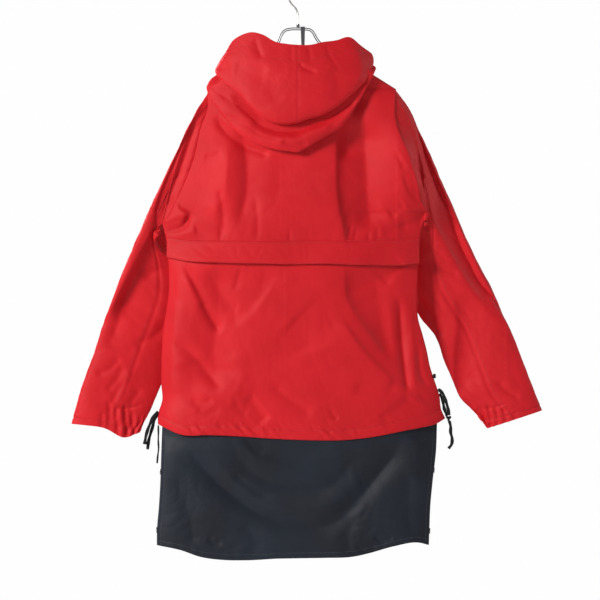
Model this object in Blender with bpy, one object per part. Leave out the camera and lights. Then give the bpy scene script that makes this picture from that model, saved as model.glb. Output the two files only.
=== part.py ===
# Anorak pullover hanging on a double-wire hanger.
# Frame: metres, +Z up, X across the garment. The garment's back faces -Y, its front +Y.
# The origin is the inside top of the hanger's hook. Tables are in millimetres.

import bpy
import bmesh
import numpy as np

for oldObject in list(bpy.data.objects):
    bpy.data.objects.remove(oldObject, do_unlink=True)

mm = 0.001

# ---------------------------------------------------------------- driving dimensions
clothWall = 1.5         # shell cloth with its seam allowances
tailWall = 1.3
seamGap = 0.3           # between two sewn pieces
seatGap = 0.6           # between a piece and the curved piece that it lies on
neckHalf = 84.0         # half of the neck opening's width
backNeckDrop = 24.0     # how far the neck edge dips below the neck points
frontNeckDrop = 62.0
backNeckDepth = 22.0    # how far the neck edge stands out from the shoulder seam
frontNeckDepth = 34.0
shoulderRound = 14.0    # height over which a shoulder rounds off
slitBottom = -362.0     # lower end of the neck slit in the front
slitTopHalf = 6.0
slitHalf = 1.6
bandStandOff = 3.5      # the casing band's free lower edge
wireDiameter = 2.2
wirePitch = 3.8         # centre to centre of the hanger's two wires
hookDiameter = 3.4
hookInside = 18.0       # inside radius of the hook
tapeWidth = 4.4         # drawcord tape
thinCordWidth = 3.0
studDiameter = 12.0
studHeight = 2.0

# Hanger arms: the upper wire's centre line on each side, x and z
leftArm = ((-44.0, -115.5), (-160.0, -200.4))
rightArm = ((47.0, -114.0), (174.0, -194.3))

# Body edges from the shoulder tip down: height, then x of the cloth's edge
leftEdge = [
    (-221, -191), (-247, -189), (-294, -204), (-361, -220), (-416, -241), (-454, -260),
    (-479, -273), (-496, -284), (-509, -281), (-523, -278), (-566, -273), (-655, -273),
    (-708, -282), (-760, -286), (-834, -287), (-865, -285), (-892, -293), (-950, -291),
]
rightEdge = [
    (-213, 206), (-240, 203), (-275, 204), (-310, 214), (-340, 228), (-372, 239),
    (-418, 252), (-449, 259), (-472, 271), (-486, 266), (-500, 261), (-550, 255),
    (-655, 251), (-693, 252), (-729, 262), (-764, 271), (-794, 277), (-825, 287),
    (-857, 297), (-886, 301), (-904, 309), (-950, 309),
]
# Row ends: level, left height, right height (0 shoulder tip, 1 underarm, 2 hem corner)
rowEnds = [(0, -221, -213), (1, -496, -472), (2, -916, -904)]
# Hem: place across (-1 left, 1 right), drop below the line between its corners
hemSag = [
    (-1.0, 0), (-0.96, -6), (-0.85, -21), (-0.64, -24), (-0.42, -28), (-0.2, -34),
    (0.08, -39), (0.29, -40), (0.51, -34), (0.72, -23), (0.82, -18), (0.94, -10), (1.0, 0),
]
# Depth of the body by height: back, front, and how blunt the sides are
bodyDepth = [
    (-100, 22, 30, 2.6), (-221, 27, 30, 2.6), (-300, 31, 32, 2.6), (-420, 35, 30, 2.6),
    (-496, 36, 28, 2.6), (-660, 36, 28, 2.8), (-800, 37, 29, 3.4), (-900, 38, 30, 5.0),
    (-960, 38, 30, 5.0),
]
armholeDepth = 15.0     # the armhole edge stands this far out half way down

# Largest folds of the back: depth, half width, then the points it runs through
backFolds = [
    (9.0, 15, [(109, -277), (99, -340), (88, -403), (90, -466), (99, -540), (103, -634),
               (130, -697), (183, -760), (208, -813)]),
    (-5.0, 18, [(132, -300), (124, -400), (126, -520), (134, -640), (170, -720)]),
    (6.0, 14, [(-107, -321), (-103, -368), (-109, -437)]),
    (-6.0, 32, [(-165, -250), (-160, -330), (-170, -420)]),
    (5.0, 12, [(-248, -590), (-216, -630), (-160, -718)]),
    (5.0, 14, [(-255, -754), (-210, -790), (-160, -827)]),
    (6.0, 15, [(-122, -600), (-59, -680), (15, -705), (70, -690)]),
    (6.0, 12, [(214, -697), (231, -760), (223, -834)]),
    (6.0, 11, [(250, -446), (222, -428), (185, -420)]),
    (5.0, 10, [(-262, -497), (-235, -490), (-205, -505)]),
]
# Largest folds of the front, which hangs plainly
frontFolds = [
    (6.0, 16, [(-150, -300), (-120, -420), (-118, -560)]),
    (6.0, 16, [(150, -290), (124, -410), (120, -540)]),
    (5.0, 14, [(-60, -600), (-40, -720), (-66, -860)]),
    (5.0, 14, [(84, -590), (70, -730), (96, -870)]),
    (4.0, 12, [(-200, -620), (-150, -740), (-140, -880)]),
    (4.0, 12, [(196, -600), (168, -740), (176, -880)]),
]

# Casing band on the back: x, top edge, lower edge
bandRows = [
    (-272, -524, -566), (-248, -528, -571), (-206, -531, -575), (-122, -532, -578),
    (-38, -533, -580), (46, -531, -579), (109, -532, -581), (172, -530, -582),
    (206, -529, -582), (253, -526, -579),
]

# Sleeves, from the armhole down to the cuff: outer edge x, z and depth, inner edge x, z and
# depth, half depth, and how far the front half rolls in under the arm. The sleeves hang
# behind the front's plane, and their inner edges fan round the underarm point.
leftSleeve = [
    (-220, -271, 3, -288, -500, 1, 20, 0), (-252, -336, 8, -291, -506, 4, 22, 8),
    (-284, -403, 14, -296, -515, 9, 23, 18), (-311, -462, 20, -292, -532, 17, 22, 20),
    (-336, -519, 25, -274, -560, 30, 21, 10), (-359, -575, 29, -242, -602, 42, 20, 0),
    (-378, -624, 32, -230, -660, 47, 19, 0), (-397, -676, 33, -246, -718, 45, 18, 0),
    (-416, -729, 34, -273, -785, 42, 18, 0), (-437, -785, 34, -290, -836, 40, 18, 0),
    (-458, -844, 34, -308, -880, 38, 18, 0), (-469, -884, 34, -320, -903, 37, 19, 0),
    (-478, -916, 34, -336, -930, 36, 20, 0),
]
rightSleeve = [
    (233, -254, 3, 275, -476, 1, 20, 0), (256, -304, 8, 279, -482, 4, 22, 8),
    (281, -361, 14, 286, -492, 9, 23, 18), (304, -414, 20, 284, -508, 17, 22, 20),
    (330, -470, 25, 264, -536, 30, 21, 10), (357, -533, 29, 233, -582, 42, 20, 0),
    (384, -588, 32, 232, -640, 47, 19, 0), (412, -640, 33, 262, -697, 45, 18, 0),
    (435, -691, 34, 290, -733, 42, 18, 0), (458, -741, 34, 307, -777, 40, 18, 0),
    (477, -792, 34, 326, -825, 38, 18, 0), (496, -840, 34, 340, -858, 37, 19, 0),
    (506, -866, 34, 372, -893, 36, 20, 0), (514, -888, 34, 400, -926, 36, 20, 0),
]
seamTurn = 99.0         # degrees round a sleeve from its outer edge to each long seam
innerFlat = 0.6         # the back half is this much flatter at its inner edge
cuffGathers = 5         # elastic pleats on the under half of each cuff
gatherDepth = 2.6
cuffDip = 18.0          # the left cuff's hem dips towards its inner corner

# Hood, thrown back, by the angle round the neck (0 nape, 90 right side, 180 throat):
# roll x, z, y; crease x, z; pouch puff; face edge x, z, y
hoodRows = [
    (-176, -17, -238, 44, -16, -226, 0.20, -13, -204, 48),
    (-150, -92, -214, 42, -84, -196, 0.25, -78, -158, 42),
    (-125, -146, -196, 30, -124, -168, 0.30, -118, -130, 24),
    (-105, -180, -200, 12, -150, -168, 0.38, -142, -126, 8),
    (-90, -191, -214, -10, -160, -178, 0.45, -151, -134, -8),
    (-75, -166, -258, -28, -134, -208, 0.65, -134, -109, -18),
    (-60, -127, -306, -40, -99, -243, 0.85, -102, -95, -27),
    (-45, -84, -331, -46, -69, -275, 0.95, -74, -100, -34),
    (-30, -49, -341, -49, -42, -288, 1.00, -48, -115, -40),
    (-15, -21, -345, -50, -19, -290, 1.00, -23, -120, -43),
    (0, 2, -347, -50, 0, -287, 1.00, 0, -122, -44),
    (15, 27, -333, -50, 23, -278, 1.00, 25, -122, -43),
    (30, 57, -315, -49, 48, -270, 1.00, 52, -116, -40),
    (45, 88, -297, -46, 78, -250, 0.95, 80, -112, -34),
    (60, 114, -262, -40, 102, -226, 0.85, 108, -105, -27),
    (75, 140, -213, -28, 126, -196, 0.65, 134, -124, -18),
    (90, 161, -172, -8, 142, -162, 0.45, 155, -138, -8),
    (105, 158, -172, 12, 136, -152, 0.38, 138, -126, 8),
    (125, 132, -184, 30, 116, -160, 0.30, 112, -128, 24),
    (150, 88, -210, 42, 82, -192, 0.25, 76, -156, 42),
    (176, 17, -236, 44, 16, -224, 0.20, 13, -203, 48),
]
shoulderLift = 10.0      # the hood clears the body as if its shoulders were this much taller
lowerClear = 5.0         # the hood's lower layer lies this far off the body, its upper layer:
upperClear = 13.0
hoodAngles = [0, 8, 17, 26, 36, 47, 58, 69, 80, 92, 108, 128, 150, 165, 176]
hoodPath = [0, 0.03, 0.07, 0.14, 0.22, 0.30, 0.355, 0.39, 0.42, 0.455, 0.50, 0.545, 0.58,
            0.60, 0.62, 0.645, 0.68, 0.76, 0.84, 0.92, 1.0]

# Tail under the red hem: height, left edge x, right edge x
tailEdges = [
    (-916, -285, 292), (-970, -287, 290), (-1033, -289, 283), (-1086, -292, 278),
    (-1134, -296, 276), (-1200, -296, 274),
]
# Tail's lower hem: x, height
tailHem = [
    (-297, -1169), (-246, -1179), (-204, -1193), (-160, -1199), (-109, -1200), (-32, -1196),
    (55, -1195), (118, -1192), (150, -1185), (200, -1171), (256, -1164), (274, -1169),
]
tailBackDepth = 37.6
tailFrontDepth = 30.0
tailTuck = 14.0         # how far the tail reaches up inside the red hem
tailSideDrop = 5.2      # below the hem's corners, where the side plackets start
tailSplay = 8.0         # how far it hangs in from the red hem's plane
placketWidth = 8.0      # the back panel's side plackets turn this far towards the front
placketTaper = 0.4
tailFolds = [
    (7.0, 26, [(-237, -955), (-122, -1075), (-17, -1128), (80, -1128), (160, -1040),
               (215, -955)]),
    (-5.0, 26, [(-150, -960), (-60, -1040), (30, -1060), (120, -980)]),
    (5.0, 22, [(-262, -1010), (-230, -1100), (-215, -1185)]),
    (4.0, 18, [(236, -1010), (232, -1090), (238, -1160)]),
]

# Drawcord ends: x, y, z
cordRoutes = {
    "cord_left_front": (tapeWidth, [(-293.9, -3.0, -889), (-304, -4.5, -901), (-309, -5, -912),
                                    (-314.5, -5, -925), (-319, -4.5, -940), (-322, -4, -958)]),
    "cord_left_rear": (tapeWidth, [(-292.5, 2.6, -892), (-301, 3.2, -905), (-305, 3.0, -920),
                                   (-309.5, 2.5, -935), (-313.5, 2, -950), (-316, 2, -969)]),
    "cord_left_thin": (thinCordWidth, [(-293.2, -3.4, -918.0), (-293.0, -4.6, -934),
                                       (-293.2, -5, -950), (-292.6, -5.2, -968),
                                       (-294.4, -5.4, -983), (-295.6, -5.6, -998)]),
    "cord_right_outer": (tapeWidth, [(294.2, -3.0, -842), (303.5, -4.5, -851), (309, -5, -864),
                                     (314, -4.5, -880), (317.5, -4.2, -897.2)]),
    "cord_right_inner": (tapeWidth, [(296.9, 3.0, -852), (303, 4.2, -862), (305.5, 4.4, -874),
                                     (308, 3.8, -886), (313.2, 2.0, -898.6)]),
    "cord_right_end": (tapeWidth, [(317.8, -1.5, -909.0), (320.5, -1.5, -921), (320.5, -1.5, -933),
                                   (323.5, -2, -946), (322.5, -2, -958), (316, -1.5, -967)]),
}


# ---------------------------------------------------------------- shared helpers
def smoothCurve(knots, values, places):
    """Cubic pieces through the rows of a table, each slope taken from the two neighbours."""
    knots = np.asarray(knots, float)
    values = np.asarray(values, float)
    places = np.clip(np.asarray(places, float), knots[0], knots[-1])
    gaps = np.diff(knots)
    tail = (1,) * (values.ndim - 1)
    wideGaps = gaps.reshape(-1, *tail)
    steps = np.diff(values, axis=0) / wideGaps
    slopes = np.empty_like(values)
    slopes[1:-1] = (steps[:-1] * wideGaps[1:] + steps[1:] * wideGaps[:-1]) / (wideGaps[1:] + wideGaps[:-1])
    slopes[0] = steps[0]
    slopes[-1] = steps[-1]
    piece = np.clip(np.searchsorted(knots, places, side="right") - 1, 0, len(gaps) - 1)
    gap = gaps[piece].reshape(places.shape + tail)
    t = (places.reshape(places.shape + tail) - knots[piece].reshape(places.shape + tail)) / gap
    startPart = values[piece] * (2 * t**3 - 3 * t**2 + 1) + slopes[piece] * gap * (t**3 - 2 * t**2 + t)
    endPart = values[piece + 1] * (3 * t**2 - 2 * t**3) + slopes[piece + 1] * gap * (t**3 - t**2)
    return startPart + endPart


def tableColumn(rows, column, places, descending=False):
    """One column of a table, read smoothly at the given places of its first column."""
    table = np.array(rows, float)
    if descending:
        table = table[::-1]
    return smoothCurve(table[:, 0], table[:, column], places)


def softStep(value):
    """0 below 0, 1 above 1, and a smooth rise between."""
    value = np.clip(value, 0, 1)
    return value * value * (3 - 2 * value)


def foldHeight(x, z, folds):
    """Sum of soft troughs: each has a bell section round the line through its points."""
    total = np.zeros(np.broadcast(x, z).shape)
    for depth, halfWidth, points in folds:
        nearest = np.full(total.shape, 1e9)
        for (x0, z0), (x1, z1) in zip(points[:-1], points[1:]):
            runX = x1 - x0
            runZ = z1 - z0
            along = np.clip(((x - x0) * runX + (z - z0) * runZ) / (runX**2 + runZ**2), 0, 1)
            nearest = np.minimum(nearest, np.hypot(x - x0 - along * runX, z - z0 - along * runZ))
        total += depth * np.exp(-(nearest / halfWidth) ** 2)
    return total


def gridNormals(grid):
    """Unit cross product of the grid's two directions, at every point."""
    down = np.gradient(grid, axis=0)
    across = np.gradient(grid, axis=1)
    normals = np.cross(down, across)
    return normals / np.linalg.norm(normals, axis=2, keepdims=True)


def makeMaterial(name, colour, roughness, metallic=0.0):
    material = bpy.data.materials.new(name)
    material.use_nodes = True
    shader = material.node_tree.nodes["Principled BSDF"]
    shader.inputs["Base Color"].default_value = (*colour, 1)
    shader.inputs["Roughness"].default_value = roughness
    shader.inputs["Metallic"].default_value = metallic
    return material


redCloth = makeMaterial("red_shell_cloth", (0.58, 0.02, 0.03), 0.6)
navyCloth = makeMaterial("navy_tail_cloth", (0.02, 0.03, 0.045), 0.6)
blackTape = makeMaterial("black_tape", (0.015, 0.016, 0.02), 0.7)
greyTape = makeMaterial("dark_grey_tape", (0.05, 0.05, 0.055), 0.8)
darkWire = makeMaterial("dark_coated_wire", (0.06, 0.06, 0.065), 0.4, 0.6)
brightSteel = makeMaterial("bright_steel", (0.6, 0.6, 0.6), 0.3, 1.0)


def finishObject(name, work, material):
    """Closed mesh in millimetres to an object in metres, faces outwards, shaded smooth."""
    bmesh.ops.recalc_face_normals(work, faces=work.faces[:])
    for vertex in work.verts:
        vertex.co *= mm
    mesh = bpy.data.meshes.new(name)
    work.to_mesh(mesh)
    work.free()
    mesh.materials.append(material)
    mesh.shade_smooth()
    mesh.set_sharp_from_angle(angle=0.9)
    thing = bpy.data.objects.new(name, mesh)
    bpy.context.scene.collection.objects.link(thing)
    return thing


def clothPanel(name, outer, inner, material, keep=None):
    """A wall between two matching grids. keep says which cells exist; every open edge is closed."""
    rows, columns = outer.shape[:2]
    if keep is None:
        keep = np.ones((rows - 1, columns - 1), bool)
    work = bmesh.new()
    layers = ({}, {})

    def corner(layer, r, c):
        if (r, c) not in layers[layer]:
            layers[layer][r, c] = work.verts.new((outer, inner)[layer][r, c])
        return layers[layer][r, c]

    for r, c in zip(*np.nonzero(keep)):
        ring = [(r, c), (r, c + 1), (r + 1, c + 1), (r + 1, c)]
        neighbours = [(r - 1, c), (r, c + 1), (r + 1, c), (r, c - 1)]
        for half in ((0, 1, 2), (0, 2, 3)):
            work.faces.new([corner(0, *ring[place]) for place in half])
            work.faces.new([corner(1, *ring[place]) for place in reversed(half)])
        for side, (nr, nc) in enumerate(neighbours):
            inside = 0 <= nr < rows - 1 and 0 <= nc < columns - 1 and keep[nr, nc]
            if not inside:
                first = ring[side]
                second = ring[(side + 1) % 4]
                rim = [corner(0, *second), corner(0, *first), corner(1, *first), corner(1, *second)]
                halves = ((0, 1, 3), (1, 2, 3)) if first < second else ((0, 1, 2), (0, 2, 3))
                for half in halves:
                    work.faces.new([rim[place] for place in half])
    return finishObject(name, work, material)


def roundWire(name, points, diameter, material, closed=False, sides=2):
    """A tube round a list of points in millimetres."""
    curve = bpy.data.curves.new(name, "CURVE")
    curve.dimensions = "3D"
    curve.bevel_depth = diameter / 2 * mm
    curve.bevel_resolution = sides
    curve.use_fill_caps = not closed
    spline = curve.splines.new("POLY")
    spline.points.add(len(points) - 1)
    for target, point in zip(spline.points, points):
        target.co = (*(np.array(point) * mm), 1)
    spline.use_cyclic_u = closed
    curve.materials.append(material)
    thing = bpy.data.objects.new(name, curve)
    bpy.context.scene.collection.objects.link(thing)
    return thing


def sampledRoute(points, spacing):
    """Points at an even spacing along the smooth curve through a route."""
    points = np.array(points, float)
    knots = np.concatenate([[0], np.cumsum(np.linalg.norm(np.diff(points, axis=0), axis=1))])
    count = max(3, int(round(knots[-1] / spacing)) + 1)
    return smoothCurve(knots, points, np.linspace(0, knots[-1], count))


# ---------------------------------------------------------------- body surfaces
def armLine(x):
    """Height of the hanger arms' upper wire at x, straight on each side."""
    (leftNearX, leftNearZ), (leftTipX, leftTipZ) = leftArm
    (rightNearX, rightNearZ), (rightTipX, rightTipZ) = rightArm
    left = leftNearZ + (x - leftNearX) * (leftTipZ - leftNearZ) / (leftTipX - leftNearX)
    right = rightNearZ + (x - rightNearX) * (rightTipZ - rightNearZ) / (rightTipX - rightNearX)
    return np.where(x < 0, left, right)


def topLine(x, neckDrop):
    """The shoulder seams on the hanger's arms, and the neck edge dipping between them."""
    seamLift = wireDiameter / 2 * 1.25 + seatGap
    leftNeck = armLine(np.array(-neckHalf)) + seamLift
    rightNeck = armLine(np.array(neckHalf)) + seamLift
    share = np.clip((x + neckHalf) / (2 * neckHalf), 0, 1)
    dip = neckDrop * np.clip(1 - (x / neckHalf) ** 2, 0, 1)
    neck = leftNeck + (rightNeck - leftNeck) * share - dip
    return np.where(np.abs(x) < neckHalf, neck, armLine(x) + seamLift)


def acrossBody(x, z):
    """Place across the body: -1 at its left edge, 1 at its right edge."""
    left = tableColumn(leftEdge, 1, z, descending=True)
    right = tableColumn(rightEdge, 1, z, descending=True)
    return np.clip((2 * x - left - right) / (right - left), -1, 1)


def armholeStand(x, z):
    """How far an armhole's edge stands out at this height: a half wave from tip to underarm."""
    leftShare = np.clip((rowEnds[0][1] - z) / (rowEnds[0][1] - rowEnds[1][1]), 0, 1)
    rightShare = np.clip((rowEnds[0][2] - z) / (rowEnds[0][2] - rowEnds[1][2]), 0, 1)
    share = np.where(x < 0, leftShare, rightShare)
    return armholeDepth * np.sqrt(np.sin(np.pi * share))


def bodyReach(x, z, isBack):
    """Depth of a panel's outer face from the plane of the seams, before its folds."""
    across = np.abs(acrossBody(x, z))
    blunt = tableColumn(bodyDepth, 3, z, descending=True)
    middle = tableColumn(bodyDepth, 1 if isBack else 2, z, descending=True)
    full = middle * (1 - across**blunt) + armholeStand(x, z) * across**blunt
    neckShape = np.clip(1 - (x / neckHalf) ** 2, 0, 1)
    neckDrop, neckDepth = (backNeckDrop, backNeckDepth) if isBack else (frontNeckDrop, frontNeckDepth)
    atTop = neckDepth * np.sqrt(neckShape)
    below = np.clip(topLine(x, neckDrop) - z, 0, None)
    roundHeight = shoulderRound + 30 * neckShape
    turned = np.sqrt(1 - (1 - np.clip(below / roundHeight, 0, 1)) ** 2)
    return clothWall + seamGap / 2 + atTop + (full - atTop) * turned


def backFace(x, z):
    """y of the back's outer face."""
    fade = 1 - np.abs(acrossBody(x, z)) ** 8
    fade = fade * softStep((topLine(x, backNeckDrop) - z) / 60)
    return -bodyReach(x, z, True) + foldHeight(x, z, backFolds) * fade


def frontFace(x, z):
    """y of the front's outer face."""
    fade = 1 - np.abs(acrossBody(x, z)) ** 8
    fade = fade * softStep((topLine(x, frontNeckDrop) - z) / 60)
    return bodyReach(x, z, False) - foldHeight(x, z, frontFolds) * fade


def bodyRow(level, share, neckDrop):
    """x and z across one row: share runs 0 to 1 from the left edge to the right edge."""
    leftZ = np.interp(level, [row[0] for row in rowEnds], [row[1] for row in rowEnds])
    rightZ = np.interp(level, [row[0] for row in rowEnds], [row[2] for row in rowEnds])
    leftX = tableColumn(leftEdge, 1, leftZ, descending=True)
    rightX = tableColumn(rightEdge, 1, rightZ, descending=True)
    x = leftX + (rightX - leftX) * share
    straight = leftZ + (rightZ - leftZ) * share
    tipX = tableColumn(leftEdge, 1, rowEnds[0][1], descending=True)
    tipRun = tableColumn(rightEdge, 1, rowEnds[0][2], descending=True) - tipX
    tipLine = rowEnds[0][1] + (rowEnds[0][2] - rowEnds[0][1]) * share
    rise = topLine(tipX + tipRun * share, neckDrop) - tipLine
    rise = rise * (1 - softStep(level / 0.62))
    sag = tableColumn(hemSag, 1, share * 2 - 1) * np.clip(level - 1, 0, 1) ** 1.3
    return x, straight + rise + sag


def bodyGrid(levels, shares, neckDrop, face):
    """Outer grid of a body panel: rows down, columns across."""
    rows = []
    for level, rowShares in zip(levels, shares):
        x, z = bodyRow(level, rowShares, neckDrop)
        rows.append(np.stack([x, face(x, z), z], axis=1))
    return np.array(rows)


def pushedIn(grid, thickness, normals=None):
    """The grid's inner face, one wall thickness behind its outer face."""
    if normals is None:
        normals = gridNormals(grid)
    return grid - normals * thickness


def buildBack():
    levels = np.concatenate([[0, 0.008, 0.026, 0.06], np.linspace(0.12, 1.0, 12), np.linspace(1.0, 2.0, 18)[1:]])
    shares = np.linspace(0, 1, 25)
    grid = bodyGrid(levels, [shares] * len(levels), backNeckDrop, backFace)
    clothPanel("back", grid, pushedIn(grid, clothWall, gridNormals(grid)), redCloth)


def buildFront():
    """The slit is a column of cells left out between the two middle columns."""
    levels = np.concatenate([[0, 0.008, 0.026, 0.06], np.linspace(0.12, 1.0, 12), np.linspace(1.0, 2.0, 11)[1:]])
    half = np.linspace(0, 1, 10)
    allShares = []
    middleHeights = []
    for level in levels:
        edgeX, edgeZ = bodyRow(level, np.array([0.0, 1.0]), frontNeckDrop)
        middle = -edgeX[0] / (edgeX[1] - edgeX[0])
        middleZ = bodyRow(level, np.array([middle]), frontNeckDrop)[1][0]
        opening = softStep((middleZ - slitBottom) / 150)
        gap = (slitHalf + (slitTopHalf - slitHalf) * opening) / (edgeX[1] - edgeX[0])
        left = half * (middle - gap)
        right = middle + gap + half * (1 - middle - gap)
        allShares.append(np.concatenate([left, right]))
        middleHeights.append(middleZ)
    grid = bodyGrid(levels, allShares, frontNeckDrop, frontFace)
    keep = np.ones((len(levels) - 1, grid.shape[1] - 1), bool)
    for row in range(len(levels) - 1):
        keep[row, len(half) - 1] = middleHeights[row + 1] < slitBottom
    clothPanel("front", grid, pushedIn(grid, -clothWall), redCloth, keep)


def buildBand():
    shares = np.linspace(0.004, 0.996, 25)
    left = tableColumn(leftEdge, 1, bandRows[0][1], descending=True)
    right = tableColumn(rightEdge, 1, bandRows[-1][1], descending=True)
    x = left + (right - left) * shares
    top = tableColumn(bandRows, 1, x)
    bottom = tableColumn(bandRows, 2, x)
    rows = []
    for drop, stand in ((0, 0), (0.35, 0.9), (0.7, 2.2), (1, bandStandOff)):
        z = top + (bottom - top) * drop
        rows.append(np.stack([x, backFace(x, z) - seatGap * 2.4 - clothWall - stand, z], axis=1))
    grid = np.array(rows)
    clothPanel("waist_band", grid, pushedIn(grid, clothWall), redCloth)


# ---------------------------------------------------------------- sleeves
def sleeveRings(side, rows, stations, turns):
    """Rings round the sleeve: the armhole loop first, then flattened ovals read from the rows.
    Turn 0 is the outer edge, 180 the inner edge, positive turns lie on the back."""
    tipZ, pitZ = (rowEnds[0][1], rowEnds[1][1]) if side < 0 else (rowEnds[0][2], rowEnds[1][2])
    edge = leftEdge if side < 0 else rightEdge
    angle = np.radians(turns)
    share = (1 - np.cos(angle)) / 2
    loopZ = tipZ + (pitZ - tipZ) * share
    loopX = tableColumn(edge, 1, loopZ, descending=True) + side * 1.1
    stand = armholeDepth * np.sqrt(np.sin(np.pi * share)) + clothWall + seamGap / 2
    loopY = -stand * np.sign(np.sin(angle)) * np.minimum(1, np.abs(np.sin(angle)) * 4)
    rings = [np.stack([loopX, loopY, loopZ], axis=1)]
    rollPlace = np.clip((turns % 360 - 180) / 100, 0, 1)
    for outerX, outerZ, outerY, innerX, innerZ, innerY, halfDepth, roll in rows:
        x = outerX + (innerX - outerX) * share - side * roll * np.sin(np.pi * rollPlace)
        z = outerZ + (innerZ - outerZ) * share
        bulge = halfDepth * np.abs(np.sin(angle)) ** 0.8
        flatter = np.where(np.sin(angle) > 0, 1 - innerFlat * share, 1)
        y = outerY + (innerY - outerY) * share - bulge * flatter * np.sign(np.sin(angle))
        rings.append(np.stack([x, y, z], axis=1))
    rings = np.array(rings)
    grid = smoothCurve(np.arange(len(rings)), rings, stations)
    return grid, gridNormals(grid)


def gatherCuff(grid, stations, lastStation, turns, side):
    """Elastic pleats: a cosine round the under half, growing over the last rings to the hem."""
    under = (np.abs(turns) - seamTurn) / (180 - seamTurn)
    weight = np.clip(under, 0, 1) ** 0.5
    phase = np.cos(np.pi * cuffGathers * under)
    grow = softStep((np.array(stations) - (lastStation - 1.6)) / 1.6)
    centre = grid.mean(axis=1, keepdims=True)
    outward = grid - centre
    outward[..., 2] = 0
    outward /= np.linalg.norm(outward, axis=2, keepdims=True)
    lift = gatherDepth * phase * weight
    return grid + outward * lift[None, :, None] * grow[:, None, None]


def buildSleeve(side, rows, label):
    last = len(rows)
    stations = np.concatenate([[0, 0.35], np.arange(1, last - 1), [last - 1, last - 0.5, last]])
    underTurns = np.linspace(seamTurn, 360 - seamTurn, 21)
    upperTurns = np.linspace(-seamTurn, seamTurn, 13)
    turns = np.concatenate([upperTurns, underTurns[1:-1], [360 - seamTurn]])
    signed = (turns + 180) % 360 - 180
    signed[-1] = -seamTurn
    grid, _ = sleeveRings(side, rows, stations, signed)
    if side < 0:
        share = (1 - np.cos(np.radians(signed))) / 2
        dip = cuffDip * np.exp(-((share - 0.78) / 0.2) ** 2)
        grow = softStep((stations - (last - 1)) / 1)
        grid[..., 2] -= dip[None, :] * grow[:, None]
    grid = gatherCuff(grid, stations, last, signed, side)
    wrapped = np.concatenate([grid[:, -2:-1], grid, grid[:, 1:2]], axis=1)
    normals = gridNormals(wrapped)[:, 1:-1]
    centre = grid.mean(axis=1, keepdims=True)
    normals = normals * np.sign(np.sum(normals * (grid - centre)))
    inner = grid - normals * clothWall
    inner[0, :, 0] = side * np.maximum(side * inner[0, :, 0], side * grid[0, :, 0])
    squareTo = np.cross(normals, np.gradient(grid, axis=0))
    squareTo *= np.sign(np.sum(squareTo * np.gradient(grid, axis=1), axis=2, keepdims=True))
    shift = squareTo / np.linalg.norm(squareTo, axis=2, keepdims=True) * seamGap / 2
    seam = len(upperTurns) - 1
    for name, first, final in (("upper", 0, seam), ("under", seam, len(turns) - 1)):
        part = slice(first, final + 1)
        outerPart = grid[:, part].copy()
        innerPart = inner[:, part].copy()
        for piece in (outerPart, innerPart):
            piece[:, 0] += shift[:, first]
            piece[:, -1] -= shift[:, final]
        clothPanel(f"sleeve_{label}_{name}", outerPart, innerPart, redCloth)


# ---------------------------------------------------------------- hood
def hoodControl(angles):
    """Control points of the hood's path at each angle: neck, stand, nape, roll, crescent,
    crease, pouch, upper face, face edge."""
    turn = np.radians(angles)
    isBack = np.abs(angles) <= 90
    neckX = (neckHalf + 3) * np.sin(turn)
    neckZ = np.where(isBack, topLine(neckX, backNeckDrop), topLine(neckX, frontNeckDrop)) + 0.9
    neckY = np.where(isBack, -(backNeckDepth + 3) * np.cos(turn), -(frontNeckDepth + 3) * np.cos(turn))
    neck = np.stack([neckX, neckY, neckZ], axis=1)
    rollX, rollZ, rollY, creaseX, creaseZ, puff, edgeX, edgeZ, edgeY = (
        tableColumn(hoodRows, column, angles) for column in range(1, 10))
    outward = np.stack([0.45 * np.sin(turn), -np.cos(turn), 0 * turn], axis=1)
    outward /= np.linalg.norm(outward, axis=1, keepdims=True)
    lift = np.array([0, 0, 1.0])
    roll = np.stack([rollX, rollY, rollZ], axis=1)
    creaseY = rollY * 0.86
    crease = np.stack([creaseX, creaseY, creaseZ], axis=1)
    edge = np.stack([edgeX, edgeY, edgeZ], axis=1)
    puffs = puff[:, None]
    stand = neck + outward * 5 + lift * 8
    nape = stand * 0.55 + roll * 0.45
    rollInside = roll - outward * 9 + lift * 14 * puffs
    crescent = (roll + crease) / 2 + outward * 15 * puffs
    pouch = crease + outward * 24 * puffs + lift * 12 * puffs
    upper = pouch * 0.5 + edge * 0.5 + outward * 9 * puffs
    return np.array([neck, stand, nape, rollInside, roll, crescent, crease, pouch, upper, edge])


def clearOfBody(points, clearance, lifts):
    """Moves points of the hood out until they clear the body's panels, which are taken
    taller than they are by lifts, so that the rounded shoulders are cleared too."""
    x, y, z = points[..., 0], points[..., 1], points[..., 2] - lifts
    backLimit = backFace(x, z) - clearance
    frontLimit = frontFace(x, z) + clearance
    onBack = (y < 0) & (z < topLine(x, backNeckDrop))
    onFront = (y >= 0) & (z < topLine(x, frontNeckDrop))
    points[..., 1] = np.where(onBack, np.minimum(y, backLimit), np.where(onFront, np.maximum(y, frontLimit), y))
    return points


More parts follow.
